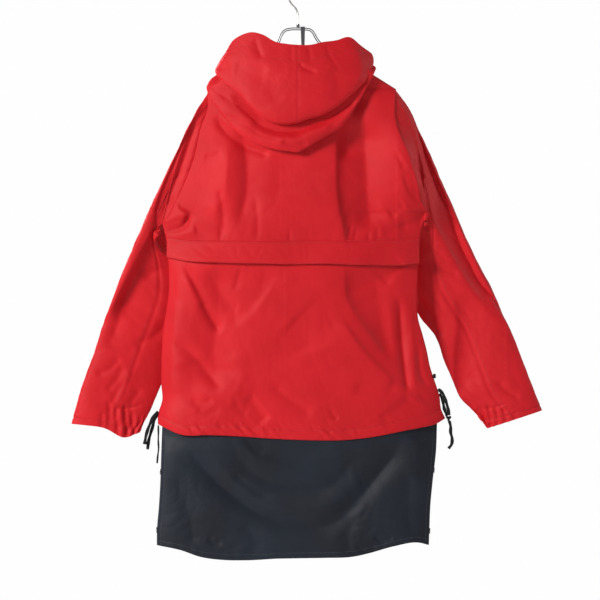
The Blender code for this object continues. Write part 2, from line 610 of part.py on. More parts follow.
def buildHood():
    right = np.array(hoodAngles, float)
    angles = np.concatenate([-right[::-1], right[1:]])
    control = hoodControl(angles)
    knots = np.array([0, 0.07, 0.22, 0.36, 0.42, 0.52, 0.60, 0.67, 0.83, 1.0])
    grid = smoothCurve(knots, control, hoodPath)
    path = np.array(hoodPath)
    clearance = lowerClear + (upperClear - lowerClear) * softStep((path - 0.42) / 0.08)
    lifts = shoulderLift * softStep((path - 0.03) / 0.12)
    grid[1:] = clearOfBody(grid[1:], clearance[1:, None], lifts[1:, None])
    normals = gridNormals(grid)
    inner = grid + normals * clothWall
    middle = len(right) - 1
    for name, part, edgeColumn, push in (("hood_left", slice(0, middle + 1), -1, -1),
                                         ("hood_right", slice(middle, None), 0, 1)):
        outerPart = grid[:, part].copy()
        innerPart = inner[:, part].copy()
        outerPart[:, edgeColumn, 0] += push * seamGap / 2
        innerPart[:, edgeColumn, 0] += push * seamGap / 2
        clothPanel(name, outerPart, innerPart, redCloth)


# ---------------------------------------------------------------- tail
def tailPanel(name, isBack, depth, inset, heights, columns):
    """A panel of the tail tube. Its section is |x/a|^5 + |y/b|^q = 1, where q grows from 1 at
    the red hem, which is a flat lens, to 3.2 lower down, where the sides stand upright."""
    turns = np.arcsin(np.linspace(-1, 1, columns) * 0.9999) * 0.985
    sine = np.sin(turns)
    cosine = np.cos(turns)
    rows = []
    for drop in heights:
        leftZ = rowEnds[2][1] - tailSideDrop
        leftZ += (tailHem[0][1] - leftZ) * drop
        rightZ = rowEnds[2][2] - tailSideDrop
        rightZ += (tailHem[-1][1] - rightZ) * drop
        left = tableColumn(tailEdges, 1, leftZ, descending=True)
        right = tableColumn(tailEdges, 2, rightZ, descending=True)
        sink = softStep((drop - 0.05) / 0.24)
        half = (right - left) / 2 - inset * (1 + 0.9 * (1 - sink))
        middle = (right + left) / 2
        blunt = 1 + 2.2 * sink
        x = middle + half * np.sign(sine) * np.abs(sine) ** (2 / 5)
        share = np.clip((x - left) / (right - left), 0, 1)
        line = rowEnds[2][1] + (rowEnds[2][2] - rowEnds[2][1]) * share
        redHem = line + tableColumn(hemSag, 1, share * 2 - 1)
        reach = np.abs(share * 2 - 1)
        top = redHem + tailTuck * (1 - reach**3) - tailSideDrop * reach**3
        bottom = tableColumn(tailHem, 1, x)
        z = top + (bottom - top) * drop
        side = tailWall + seamGap / 2
        out = depth - seatGap - side - tailSplay * sink
        y = -side - out * np.sign(cosine) * np.abs(cosine) ** (2 / blunt)
        folds = foldHeight(x, z, tailFolds) * (1 - reach**8) * softStep(drop * 8)
        y = y + folds if isBack else -y - folds * 0.5
        if isBack:
            placket = placketWidth * (0.2 + 0.8 * sink)
            x = np.concatenate([x[:1] + placketTaper, x, x[-1:] - placketTaper])
            y = np.concatenate([y[:1] + placket, y, y[-1:] + placket])
            z = np.concatenate([z[:1], z, z[-1:]])
        rows.append(np.stack([x, y, z], axis=1))
    grid = np.array(rows)
    clothPanel(name, grid, pushedIn(grid, tailWall if isBack else -tailWall), navyCloth)
    return grid


def buildTail():
    heights = np.concatenate([[0, 0.04], np.linspace(0.1, 1, 12)])
    grid = tailPanel("tail_back", True, tailBackDepth, 0, heights, 21)
    tailPanel("tail_front", False, tailFrontDepth, 3.0, heights[::2].tolist() + [1.0], 13)
    return grid


def buildStuds(tail):
    """Press-stud caps on the side plackets, domed discs facing outwards, seated on the tail."""
    profile = [(0.0, 1.0), (0.55, 0.96), (0.85, 0.75), (1.0, 0.35), (1.0, 0.0), (0.0, 0.0)]
    spots = [("stud_left_upper", -1, -1016), ("stud_left_lower", -1, -1138),
             ("stud_right_upper", 1, -1012), ("stud_right_lower", 1, -1140)]
    for name, side, z in spots:
        outermost = (tail[..., 0] * side).argmax(axis=1)
        edge = tail[np.arange(len(tail)), outermost][::-1]
        work = bmesh.new()
        count = 14
        rings = []
        for radius, height in profile[1:-1]:
            ring = []
            for step in range(count):
                turn = 2 * np.pi * step / count
                pointZ = z + studDiameter / 2 * radius * np.sin(turn)
                base = np.interp(pointZ, edge[:, 2], edge[:, 0]) + side * seamGap
                ring.append(work.verts.new((base + side * studHeight * height,
                                            -3 + studDiameter / 2 * radius * np.cos(turn), pointZ)))
            rings.append(ring)
        for near, far in zip(rings[:-1], rings[1:]):
            for step in range(count):
                work.faces.new([near[step], near[(step + 1) % count], far[(step + 1) % count], far[step]])
        work.faces.new(rings[0])
        work.faces.new(rings[-1])
        finishObject(name, work, brightSteel)


# ---------------------------------------------------------------- hanger, loop and cords
def buildHanger():
    """One wire bent back on itself: an upper run, a round tip, and a lower run beside it."""
    neck = [(-35, -95), (-29, -88), (-17, -84.5), (0, -84), (17, -84.5), (28, -87), (35, -95), (40, -105)]
    upper = np.array([leftArm[1], (-108, float(armLine(np.array(-108.0)))), leftArm[0], *neck,
                      rightArm[0], (116, float(armLine(np.array(116.0)))), rightArm[1]], float)
    knots = np.concatenate([[0], np.cumsum(np.linalg.norm(np.diff(upper, axis=0), axis=1))])
    inLoop = [0, knots[1], knots[2] - 12, *np.linspace(knots[2], knots[11], 18), knots[11] + 12, knots[12], knots[13]]
    run = smoothCurve(knots, upper, inLoop)
    ahead = np.gradient(run, axis=0)
    ahead /= np.linalg.norm(ahead, axis=1, keepdims=True)
    down = np.stack([ahead[:, 1], -ahead[:, 0]], axis=1)
    lower = run + down * wirePitch
    turns = np.radians([45, 90, 135])
    loop = list(run)
    for start, direction, ends in ((run[-1], ahead[-1], 1), (lower[0], -ahead[0], -1)):
        centre = (run[-1] + lower[-1]) / 2 if ends > 0 else (run[0] + lower[0]) / 2
        spoke = (start - centre)
        for turn in turns:
            loop.append(centre + spoke * np.cos(turn) + direction * wirePitch / 2 * np.sin(turn))
        if ends > 0:
            loop.extend(list(lower[::-1]))
    points = [(x, 0, z) for x, z in loop]
    roundWire("hanger_wire", points, wireDiameter, darkWire, closed=True)

    radius = hookInside + hookDiameter / 2
    arc = np.radians(np.linspace(-22, 205, 15))
    bend = [(radius * np.cos(turn), 0, -hookInside + radius * np.sin(turn)) for turn in arc]
    stem = [(-11.5, 0, -36), (-4.2, 0, -43.5), (-0.8, 0, -52), (0, 0, -62), (0, 0, -75.4)]
    roundWire("hanger_hook", sampledRoute(bend + stem, 6.0), hookDiameter, brightSteel)

    work = bmesh.new()
    bmesh.ops.create_cone(work, cap_ends=True, segments=16, radius1=3.6, radius2=3.2, depth=6.6)
    for vertex in work.verts:
        vertex.co.z += -79.1
    finishObject("hanger_collar", work, darkWire)


def buildHangLoop():
    """A narrow tape from the nape over the hanger's top wires and back down."""
    path = np.array([(-23.0, -176), (-20.2, -160), (-12, -128), (-3.6, -98), (-2.1, -89), (-1.6, -83.4),
                     (0, -82.5), (1.6, -83.4), (2.1, -89), (1.8, -98), (-7.5, -128), (-17.8, -160),
                     (-20.4, -176)], float)
    halfWidth = np.interp(path[:, 1], [-176, -120, -80], [3.4, 3.4, 4.7])
    centre = np.interp(path[:, 1], [-176, -120, -80], [12.0, 10.5, 10.0])
    rows = []
    for (y, z), half, x in zip(path, halfWidth, centre):
        rows.append([(x - half, y, z), (x + half, y, z)])
    grid = np.array(rows)
    ahead = np.gradient(path, axis=0)
    ahead /= np.linalg.norm(ahead, axis=1, keepdims=True)
    normals = np.stack([0 * ahead[:, 0], -ahead[:, 1], ahead[:, 0]], axis=1)[:, None, :]
    clothPanel("hang_loop", grid + normals * 0.9, grid, greyTape)


def buildCords():
    for name, (width, route) in cordRoutes.items():
        roundWire(name, sampledRoute(route, width * 2.2), width, blackTape)
    for name, centre, size, material in (
            ("cord_knot", (316.2, -1.5, -903.4), (5.2, 5.0, 5.6), blackTape),
            ("cord_stop", (287.6, -0.2, -815.0), (3.0, 3.2, 4.8), blackTape)):
        work = bmesh.new()
        bmesh.ops.create_uvsphere(work, u_segments=12, v_segments=8, radius=1.0)
        for vertex in work.verts:
            vertex.co = [vertex.co[axis] * size[axis] + centre[axis] for axis in range(3)]
        finishObject(name, work, material)


buildBack()
buildFront()
buildBand()
buildSleeve(-1, leftSleeve, "left")
buildSleeve(1, rightSleeve, "right")
buildHood()
buildStuds(buildTail())
buildHanger()
buildHangLoop()
buildCords()
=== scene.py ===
import math
from functools import partial

import bmesh
import bpy
import numpy as np
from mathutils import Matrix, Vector


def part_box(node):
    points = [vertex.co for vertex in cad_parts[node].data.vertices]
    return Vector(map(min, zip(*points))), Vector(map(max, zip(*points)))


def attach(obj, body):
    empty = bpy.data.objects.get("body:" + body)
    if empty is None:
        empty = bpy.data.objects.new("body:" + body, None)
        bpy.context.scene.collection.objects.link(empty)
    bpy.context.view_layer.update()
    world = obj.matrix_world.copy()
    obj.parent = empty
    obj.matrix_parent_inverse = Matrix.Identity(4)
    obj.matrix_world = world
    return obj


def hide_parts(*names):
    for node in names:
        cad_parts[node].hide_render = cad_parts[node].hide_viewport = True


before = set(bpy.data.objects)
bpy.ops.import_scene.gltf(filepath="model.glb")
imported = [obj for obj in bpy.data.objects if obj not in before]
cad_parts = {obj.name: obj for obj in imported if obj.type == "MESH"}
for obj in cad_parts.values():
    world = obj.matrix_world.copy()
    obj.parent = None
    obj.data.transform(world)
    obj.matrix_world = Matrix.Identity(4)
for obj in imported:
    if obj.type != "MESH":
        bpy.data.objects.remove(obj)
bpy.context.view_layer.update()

# Anorak pullover hung on a double-wire hanger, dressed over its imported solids.
# Tables are in millimetres, seen from behind: x to the right, z up from the hook.
mm = 0.001


# ---- numbers and curves
def smoothCurve(knots, values, places):
    # cubic pieces through the rows of a table, each slope taken from its two neighbours
    knots = np.asarray(knots, float)
    values = np.asarray(values, float)
    places = np.clip(np.asarray(places, float), knots[0], knots[-1])
    tail = (1,) * (values.ndim - 1)
    gaps = np.diff(knots).reshape(-1, *tail)
    steps = np.diff(values, axis=0) / gaps
    inner = (steps[:-1] * gaps[1:] + steps[1:] * gaps[:-1]) / (gaps[1:] + gaps[:-1])
    slopes = np.concatenate([steps[:1], inner, steps[-1:]])
    piece = np.clip(np.searchsorted(knots, places, side="right") - 1, 0, len(gaps) - 1)
    gap = gaps[piece]
    t = (places - knots[piece]).reshape(places.shape + tail) / gap
    start = values[piece] * (2 * t**3 - 3 * t**2 + 1) + slopes[piece] * gap * (t**3 - 2 * t**2 + t)
    end = values[piece + 1] * (3 * t**2 - 2 * t**3) + slopes[piece + 1] * gap * (t**3 - t**2)
    return start + end


def column(rows, number, places):
    # one column of a table, read smoothly at the given places of its first column
    table = np.array(rows, float)
    table = table[::-1] if table[0, 0] > table[-1, 0] else table
    return smoothCurve(table[:, 0], table[:, number], places)


def runs(*stretches):
    # even steps from one end to the other of each (from, to, count), a shared end taken once
    pieces = [np.linspace(*stretch) for stretch in stretches]
    return np.concatenate([piece[:-1] for piece in pieces[:-1]] + pieces[-1:])


def lengthAlong(points):
    # distance run at each point of a path
    return np.concatenate([[0], np.cumsum(np.linalg.norm(np.diff(points, axis=0), axis=1))])


def unit(vectors):
    return vectors / np.maximum(np.linalg.norm(vectors, axis=-1, keepdims=True), 1e-9)


def softStep(value):
    # 0 below 0, 1 above 1, a smooth rise between
    value = np.clip(value, 0, 1)
    return value * value * (3 - 2 * value)


def bell(distance, width):
    return np.exp(-(distance / width) ** 2)


def creaseField(x, z, creases):
    # each crease is a trough along a line (a ridge where its depth is below 0): depth times a bell of the
    # distance, with its own width on the line's right and left as it runs down, fading at both ends.
    # Width 0 on one side gives a folded edge there: u/L * exp(1 - u/L) on the other side, u its distance
    total = np.zeros(np.broadcast(x, z).shape)
    for depth, rightWidth, leftWidth, points in creases:
        last = len(points) - 1
        fine = smoothCurve(range(last + 1), points, np.linspace(0, last, 5 * last + 1))
        folded = 0 in (rightWidth, leftWidth)
        reach = (4.5 if folded else 2.3) * max(rightWidth, leftWidth)
        inside = (x > fine[:, 0].min() - reach) & (x < fine[:, 0].max() + reach)
        inside &= (z > fine[:, 1].min() - reach) & (z < fine[:, 1].max() + reach)
        px = x[inside]
        pz = z[inside]
        nearest = np.full(px.shape, 1e9)
        side = np.zeros(px.shape)
        place = np.zeros(px.shape)
        for step, ((x0, z0), (x1, z1)) in enumerate(zip(fine[:-1], fine[1:])):
            runX = x1 - x0
            runZ = z1 - z0
            along = np.clip(((px - x0) * runX + (pz - z0) * runZ) / (runX**2 + runZ**2), 0, 1)
            away = np.hypot(px - x0 - along * runX, pz - z0 - along * runZ)
            closer = away < nearest
            nearest = np.where(closer, away, nearest)
            side = np.where(closer, (px - x0) * -runZ + (pz - z0) * runX, side)
            place = np.where(closer, (step + along) / (5 * last), place)
        if folded:
            away = nearest * np.sign(side) * (1 if rightWidth else -1)
            away = (away + np.sqrt(away**2 + 5.0)) / 2 / max(rightWidth, leftWidth)
            shape = away * np.exp(1 - away)
        else:
            shape = np.exp(-(nearest / np.where(side > 0, rightWidth, leftWidth)) ** 1.5)
        total[inside] += depth * shape * softStep(place / 0.2) * softStep((1 - place) / 0.2)
    return total


def ripples(x, z, wavelength, seed, spread=math.pi, count=11):
    # sum of plane waves with drawn directions, lengths and phases, scaled to about -1..1
    draw = np.random.default_rng(seed)
    total = np.zeros(np.broadcast(x, z).shape)
    for turn, length, phase in zip(draw.uniform(-spread / 2, spread / 2, count),
                                   wavelength * draw.uniform(0.7, 1.5, count),
                                   draw.uniform(0, 2 * math.pi, count)):
        total += np.sin((x * math.cos(turn) + z * math.sin(turn)) * 2 * math.pi / length + phase)
    return total / math.sqrt(count) / 1.5


def crumple(x, z, wavelength, seed):
    # sharp little ridges: one less the size of a ripple field, warped by a slower one
    warp = ripples(x, z, wavelength * 2.7, seed + 50) * wavelength * 0.35
    return 1 - 1.6 * np.abs(ripples(x + warp, z - warp, wavelength, seed))


def handling(x, z, slow, middle, fine):
    # the cloth's own unevenness: height, wavelength and seed of its waves, crumple and fine crumple
    waves = slow[0] * ripples(x, z, *slow[1:])
    return waves + middle[0] * crumple(x, z, *middle[1:]) + fine[0] * crumple(x, z, *fine[1:])


def gridNormals(grid):
    # unit cross product of the two directions of a grid, at every point
    return unit(np.cross(np.gradient(grid, axis=0), np.gradient(grid, axis=1)))


# ---- materials
def linear(code, alpha=1.0):
    # sRGB hex to linear
    values = [int(code[place:place + 2], 16) / 255 for place in (1, 3, 5)]
    return (*[v / 12.92 if v <= 0.04045 else ((v + 0.055) / 1.055) ** 2.4 for v in values], alpha)


def addNode(tree, kind, settings=None, links=None):
    # a shader node with its settings (attributes, or inputs by name or number) and its links, each from
    # a node and the name of its output
    node = tree.nodes.new("ShaderNode" + kind)
    for key, value in (settings or {}).items():
        if isinstance(key, str) and hasattr(node, key):
            setattr(node, key, value)
        else:
            node.inputs[key].default_value = value
    for key, (source, output) in (links or {}).items():
        tree.links.new(source.outputs[output], node.inputs[key])
    return node


def emptyTree(owner):
    # clears an owner's nodes and gives back the call that adds one
    owner.use_nodes = True
    owner.node_tree.nodes.clear()
    return partial(addNode, owner.node_tree)


def surface(name, look):
    # a Principled surface of uneven tone: noise on object coordinates through a ramp of two colours.
    # Cloth adds a plain weave on its own UV in metres: two crossed thread waves, faint slubs, soft rumples
    material = bpy.data.materials.new(name)
    add = emptyTree(material)
    place = add("TexCoord")
    grain = add("TexNoise", {"Scale": look["grain"], "Detail": 3.0}, {"Vector": (place, "Object")})
    tone = add("ValToRGB", {}, {"Fac": (grain, "Fac")})
    edge = 0.32 if "thread" in look else 0.35
    for stop, position, shade in zip(tone.color_ramp.elements, (edge, 1 - edge), ("dark", "light")):
        stop.position = position
        stop.color = linear(look[shade])
    links = {"Base Color": (tone, "Color")}
    if "thread" in look:
        uv = add("UVMap", {"uv_map": "cloth"})
        slubs = add("TexNoise", {"Scale": look["slubScale"], "Detail": 2.0}, {"Vector": (uv, "UV")})
        speckle = add("MapRange", {"To Min": 1 - look["slubAmount"], "To Max": 1 + look["slubAmount"]},
                      {"Value": (slubs, "Fac")})
        toned = add("VectorMath", {"operation": "SCALE"}, {0: (tone, "Color"), "Scale": (speckle, "Result")})
        gloss = add("MapRange", dict(zip(("To Min", "To Max"), look["roughness"])), {"Value": (slubs, "Fac")})
        # one wave repeats every 2*pi/20 of scaled length, so scale = 2*pi/20/thread spacing
        wave = {"Scale": 0.31416 / look["thread"], "Distortion": 1.2, "Detail": 1.0, "Detail Scale": 0.6}
        threads = [add("TexWave", {"bands_direction": direction, **wave}, {"Vector": (uv, "UV")})
                   for direction in ("X", "Y")]
        weave = add("Math", {"operation": "ADD"}, {0: (threads[0], "Fac"), 1: (threads[1], "Fac")})
        fine = add("Bump", {"Strength": look["weaveStrength"], "Distance": look["thread"] * 0.25},
                   {"Height": (weave, "Value")})
        rumple = add("TexNoise", {"Scale": look["rumpleScale"], "Detail": 4.0, "Roughness": 0.55},
                     {"Vector": (place, "Object")})
        bump = add("Bump", {"Strength": look["bump"], "Distance": 0.004},
                   {"Height": (rumple, "Fac"), "Normal": (fine, "Normal")})
        links = {"Base Color": (toned, "Vector"), "Roughness": (gloss, "Result")}
    else:
        bump = add("Bump", {"Strength": look["bump"], "Distance": 0.0004}, {"Height": (grain, "Fac")})
    shader = add("BsdfPrincipled", look["shader"], {**links, "Normal": (bump, "Normal")})
    add("OutputMaterial", {}, {"Surface": (shader, "BSDF")})
    return material


# red shell: dense nylon and cotton plain weave, piece dyed; soft sheen, light fuzz at grazing angles
redShell = {
    "dark": "#BE0E1A", "light": "#CA1420", "grain": 9.0, "slubScale": 420.0, "slubAmount": 0.045,
    "roughness": (0.55, 0.68), "thread": 0.0014,  # real threads are 0.35 mm apart, drawn coarser to show
    "weaveStrength": 0.12, "rumpleScale": 42.0, "bump": 0.16,
    "shader": {"IOR": 1.48, "Sheen Weight": 0.1, "Sheen Roughness": 0.4, "Sheen Tint": linear("#FFB0B8"),
               "Specular IOR Level": 0.26},
}
# navy tail: thinner plain-woven nylon, dyed nearly black; duller, with a cold sheen
navyShell = {
    "dark": "#0F141E", "light": "#161D29", "grain": 7.0, "slubScale": 420.0, "slubAmount": 0.06,
    "roughness": (0.52, 0.66), "thread": 0.0014, "weaveStrength": 0.10, "rumpleScale": 34.0, "bump": 0.2,
    "shader": {"IOR": 1.5, "Sheen Weight": 0.06, "Sheen Roughness": 0.4, "Sheen Tint": linear("#B8CCE8"),
               "Specular IOR Level": 0.3},
}
redCloth = surface("redNylonCottonWeave", redShell)
navyCloth = surface("navyNylonWeave", navyShell)
# sewing thread, spun polyester a shade off the shell; woven tapes; the hanger's wire, steel dipped in dark
# grey plastic; studs and hook, bright nickel plate with fine handling marks
spun = {"Roughness": 0.7, "Sheen Weight": 0.2}
redThread, navyThread, blackTape, greyTape, coatedWire, nickelPlate = [
    surface(name, {"dark": dark, "light": light, "grain": grain, "bump": bump, "shader": shader})
    for name, dark, light, grain, bump, shader in (
        ("redSpunThread", "#860E18", "#9A131E", 900.0, 0.4, spun),
        ("navySpunThread", "#39434F", "#4A5563", 900.0, 0.4, spun),
        ("blackWovenTape", "#0E1012", "#1A1D20", 700.0, 0.8, {"Roughness": 0.8, "Specular IOR Level": 0.25}),
        ("greyWovenTape", "#3A3C3F", "#4C4E52", 700.0, 0.8, {"Roughness": 0.8, "Sheen Weight": 0.2}),
        ("greyDippedWire", "#46484C", "#5C5E63", 260.0, 0.15, {"Roughness": 0.38, "IOR": 1.5}),
        ("nickelPlate", "#C9C6C0", "#E2E0DB", 500.0, 0.12, {"Metallic": 1.0, "Roughness": 0.24}))]
print("materials ready")


# ---- pieces
def addObject(name, data):
    thing = bpy.data.objects.new(name, data)
    bpy.context.scene.collection.objects.link(thing)
    return thing


def gridPiece(name, grid, material, wall=0.0, turned=False, loop=False, keep=None, shade=None):
    # a grid of points in millimetres to a quad surface in metres, UV in metres along the cloth. Its faces
    # look along the cross product of down the rows and across the columns, or the other way if turned.
    # A wall adds the same grid pushed in along the normals, and a flat rim round every open edge. Shade
    # gives the outer face its normals where the piece runs on into its neighbour without a visible break
    rows, columns = grid.shape[:2]
    count = rows * columns
    index = np.arange(count).reshape(rows, columns)
    if loop:
        index = np.concatenate([index, index[:, :1]], axis=1)
    corners = np.stack([index[:-1, :-1], index[1:, :-1], index[1:, 1:], index[:-1, 1:]], axis=2)
    exists = np.ones(corners.shape[:2], bool) if keep is None else keep
    quads = corners[exists]
    outerCount = quads.size
    points = grid.reshape(-1, 3)
    smooth = np.ones(len(quads), bool)
    if wall:
        push = gridNormals(grid) * (-1 if turned else 1)
        points = np.concatenate([points, (grid - push * wall).reshape(-1, 3)])
        padded = np.pad(exists, 1)
        rims = []
        for first, second, beside in ((0, 1, padded[1:-1, :-2]), (1, 2, padded[2:, 1:-1]),
                                      (2, 3, padded[1:-1, 2:]), (3, 0, padded[:-2, 1:-1])):
            near, far = corners[exists & ~beside][:, [first, second]].T
            rims.append(np.stack([far, near, near + count, far + count], axis=1))
        rims = np.concatenate(rims)
        smooth = np.concatenate([smooth, smooth, np.zeros(len(rims), bool)])
        quads = np.concatenate([quads, quads[:, ::-1] + count, rims])
    if turned:
        quads = quads[:, ::-1]
    mesh = bpy.data.meshes.new(name)
    mesh.vertices.add(len(points))
    mesh.vertices.foreach_set("co", (points * mm).astype(np.float32).ravel())
    mesh.loops.add(quads.size)
    mesh.loops.foreach_set("vertex_index", quads.astype(np.int32).ravel())
    mesh.polygons.add(len(quads))
    mesh.polygons.foreach_set("loop_start", np.arange(0, quads.size, 4, dtype=np.int32))
    mesh.update(calc_edges=True)
    mesh.polygons.foreach_set("use_smooth", smooth)
    down = np.linalg.norm(np.diff(grid, axis=0), axis=2).mean(axis=1)
    across = np.linalg.norm(np.diff(grid, axis=1), axis=2).mean(axis=0)
    u, v = np.meshgrid(*[np.concatenate([[0], np.cumsum(steps)]) * mm for steps in (across, down)])
    uv = np.stack([u, v], axis=2).reshape(-1, 2)[quads.ravel() % count]
    mesh.uv_layers.new(name="cloth").data.foreach_set("uv", uv.astype(np.float32).ravel())
    mesh.materials.append(material)
    mesh.validate()
    if shade is not None:
        outside = shade.reshape(-1, 3)[quads.ravel()[:outerCount]]
        mesh.normals_split_custom_set(np.concatenate([outside, np.zeros((quads.size - outerCount, 3))]))
    return addObject(name, mesh)


def settle(thing, slot, *nodes):
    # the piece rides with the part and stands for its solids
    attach(thing, "root")
    if nodes:
        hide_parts(*nodes)
    return thing


def closeEnds(thing):
    # melts the rings that fell together at the ends and turns every face outwards
    work = bmesh.new()
    work.from_mesh(thing.data)
    bmesh.ops.remove_doubles(work, verts=work.verts, dist=1e-6)
    bmesh.ops.recalc_face_normals(work, faces=work.faces)
    work.to_mesh(thing.data)
    work.free()
    thing.data.shade_smooth()
    return thing


def tubePiece(name, points, radius, material, sides=10, flat=1.0):
    # rings of points carried along a path: radius may change along it, flat squeezes each ring in depth
    radius = np.broadcast_to(radius, len(points))
    ahead = unit(np.gradient(points, axis=0))
    depth = unit(np.array([0, 1.0, 0]) - ahead * ahead[:, 1:2])
    side = np.cross(ahead, depth)
    turn = np.linspace(0, 2 * math.pi, sides, endpoint=False)[None, :, None]
    ring = side[:, None] * np.cos(turn) + depth[:, None] * (np.sin(turn) * flat)
    grid = points[:, None] + ring * radius[:, None, None]
    ends = [np.repeat(point[None, None], sides, axis=1) for point in (points[0], points[-1])]
    return closeEnds(gridPiece(name, np.concatenate([ends[0], grid, ends[1]]), material, loop=True))


stitches = {"pitch": 3.4, "length": 2.6, "thread": 0.7}  # real thread is 0.3 mm, drawn thicker to show


def sewnLine(name, path, normals, material):
    # stitches along a path: one small bead of 3 rings of 4 points, copied by whole arrays
    length = lengthAlong(path)
    count = max(2, int(length[-1] / stitches["pitch"]))
    middle = (np.arange(count) + 0.5) * length[-1] / count
    pick = lambda values, at: np.stack([np.interp(at, length, values[:, axis]) for axis in range(3)], axis=1)
    ahead = unit(pick(path, middle + 0.5) - pick(path, middle - 0.5))
    up = unit(pick(normals, middle))
    frames = np.stack([ahead, np.cross(ahead, up), up], axis=1)
    bead = np.array([(place, s * grow / 2, u * grow / 2 + lift)
                     for place, grow, lift in ((-0.5, 0.35, -0.35), (0, 1.0, 0.2), (0.5, 0.35, -0.35))
                     for s, u in ((1, 0), (0, 1), (-1, 0), (0, -1))])
    bead *= (stitches["length"], stitches["thread"], stitches["thread"])
    points = pick(path, middle)[:, None] + bead @ frames
    faces = [(0, 3, 2, 1), (8, 9, 10, 11)]
    for ring in (0, 4):
        faces += [(ring + k, ring + (k + 1) % 4, ring + 4 + (k + 1) % 4, ring + 4 + k) for k in range(4)]
    faces = (np.array(faces)[None] + len(bead) * np.arange(count)[:, None, None]).reshape(-1, 4)
    mesh = bpy.data.meshes.new(name)
    mesh.from_pydata((points.reshape(-1, 3) * mm).tolist(), [], faces.tolist())
    mesh.materials.append(material)
    return closeEnds(addObject(name, mesh))


# ---- camera, light and room
room = {"cameraAway": 8.0, "frameWidth": 1.26, "middleX": 0.0042, "middleZ": -0.6552, "sensor": 36,
        "floor": -1950.0, "floorRings": (1.0, 3000.0, 6000.0), "wallGlow": 0.18, "aim": Vector((0, 0, -0.6))}
camera = addObject("camera", bpy.data.cameras.new("camera"))
camera.location = (room["middleX"], -room["cameraAway"], room["middleZ"])
camera.rotation_euler = (math.radians(90), 0, 0)
camera.data.sensor_width = room["sensor"]
camera.data.lens = room["sensor"] * room["cameraAway"] / room["frameWidth"]
bpy.context.scene.camera = camera
bpy.context.scene.view_settings.view_transform = "Standard"

# name: place, size, power, colour
lamps = {
    "windowLeft": ((-3.1, -2.7, 0.9), 1.0, 186, "#FFFDFA"),
    "windowRight": ((2.2, -4.0, 0.4), 2.4, 20, "#FAFCFF"),
    "windowFar": ((3.1, 0.4, 0.6), 1.5, 36, "#FFF6F4"),
    "behind": ((-2.9, 2.9, 0.9), 1.2, 130, "#FFFFFF"),
}
for name, (place, size, power, colour) in lamps.items():
    lamp = addObject(name, bpy.data.lights.new(name, "AREA"))
    lamp.data.size = size
    lamp.data.energy = power
    lamp.data.color = linear(colour)[:3]
    lamp.location = place
    lamp.rotation_euler = (room["aim"] - Vector(place)).to_track_quat("-Z", "Y").to_euler()

# the room: near-white behind the garment, while its walls give back a softer light
world = bpy.data.worlds.new("paleRoom")
bpy.context.scene.world = world
add = emptyTree(world)
seen = (add("LightPath"), "Is Camera Ray")
strength = add("MapRange", {"To Min": room["wallGlow"], "To Max": 1.0}, {"Value": seen})
sky = add("Background", {"Color": linear("#FEFEFE")}, {"Strength": (strength, "Result")})
add("OutputWorld", {}, {"Surface": (sky, "Background")})

floorPaper = bpy.data.materials.new("whitePaperFloor")
add = emptyTree(floorPaper)
paper = add("BsdfPrincipled", {"Roughness": 0.9, "Base Color": linear("#F4F4F4")})
add("OutputMaterial", {}, {"Surface": (paper, "BSDF")})
turn = np.linspace(0, 2 * math.pi, 64, endpoint=False)
disc = np.array([[(radius * math.cos(-angle), radius * math.sin(-angle), room["floor"]) for angle in turn]
                 for radius in room["floorRings"]])
gridPiece("paperFloor", disc, floorPaper, loop=True)
print("camera, lamps and room ready")


# ---- body of the garment
body = {
    "wall": 0.8, "seatGap": 0.6, "wireReach": 1.375, "neckHalf": 84.0, "shoulderRound": 14.0,
    "seamOut": 0.12, "edgeOut": 1.53,
    "leftArm": ((-44.0, -115.5), (-160.0, -200.4)), "rightArm": ((47.0, -114.0), (174.0, -194.3)),
    # height, x of the cloth's edge
    "leftEdge": [(-221, -191), (-247, -189), (-294, -204), (-361, -220), (-416, -241), (-454, -260),
                 (-479, -273), (-496, -284), (-509, -281), (-523, -278), (-566, -273), (-655, -273),
                 (-708, -282), (-760, -286), (-834, -287), (-865, -285), (-892, -293), (-950, -291)],
    "rightEdge": [(-213, 206), (-240, 203), (-275, 204), (-310, 214), (-340, 228), (-372, 239),
                  (-418, 252), (-449, 259), (-472, 271), (-486, 266), (-500, 261), (-550, 255),
                  (-655, 251), (-693, 252), (-729, 262), (-764, 271), (-794, 277), (-825, 287),
                  (-857, 297), (-886, 301), (-904, 309), (-950, 309)],
    # level (shoulder tip, underarm, hem corner), height on the left, height on the right
    "rowEnds": [(0, -221, -213), (1, -496, -472), (2, -916, -904)],
    "hemSag": [(-1.0, 0), (-0.96, -6), (-0.85, -21), (-0.64, -24), (-0.42, -28), (-0.2, -34),
               (0.08, -39), (0.29, -40), (0.51, -34), (0.72, -23), (0.82, -18), (0.94, -10), (1.0, 0)],
    # height, depth of the back, depth of the front, bluntness of the sides
    "depth": [(-100, 22, 30, 2.6), (-221, 27, 30, 2.6), (-300, 31, 32, 2.6), (-420, 35, 30, 2.6),
              (-496, 36, 28, 2.6), (-660, 36, 28, 2.8), (-800, 37, 29, 3.4), (-900, 38, 30, 5.0),
              (-960, 38, 30, 5.0)],
}
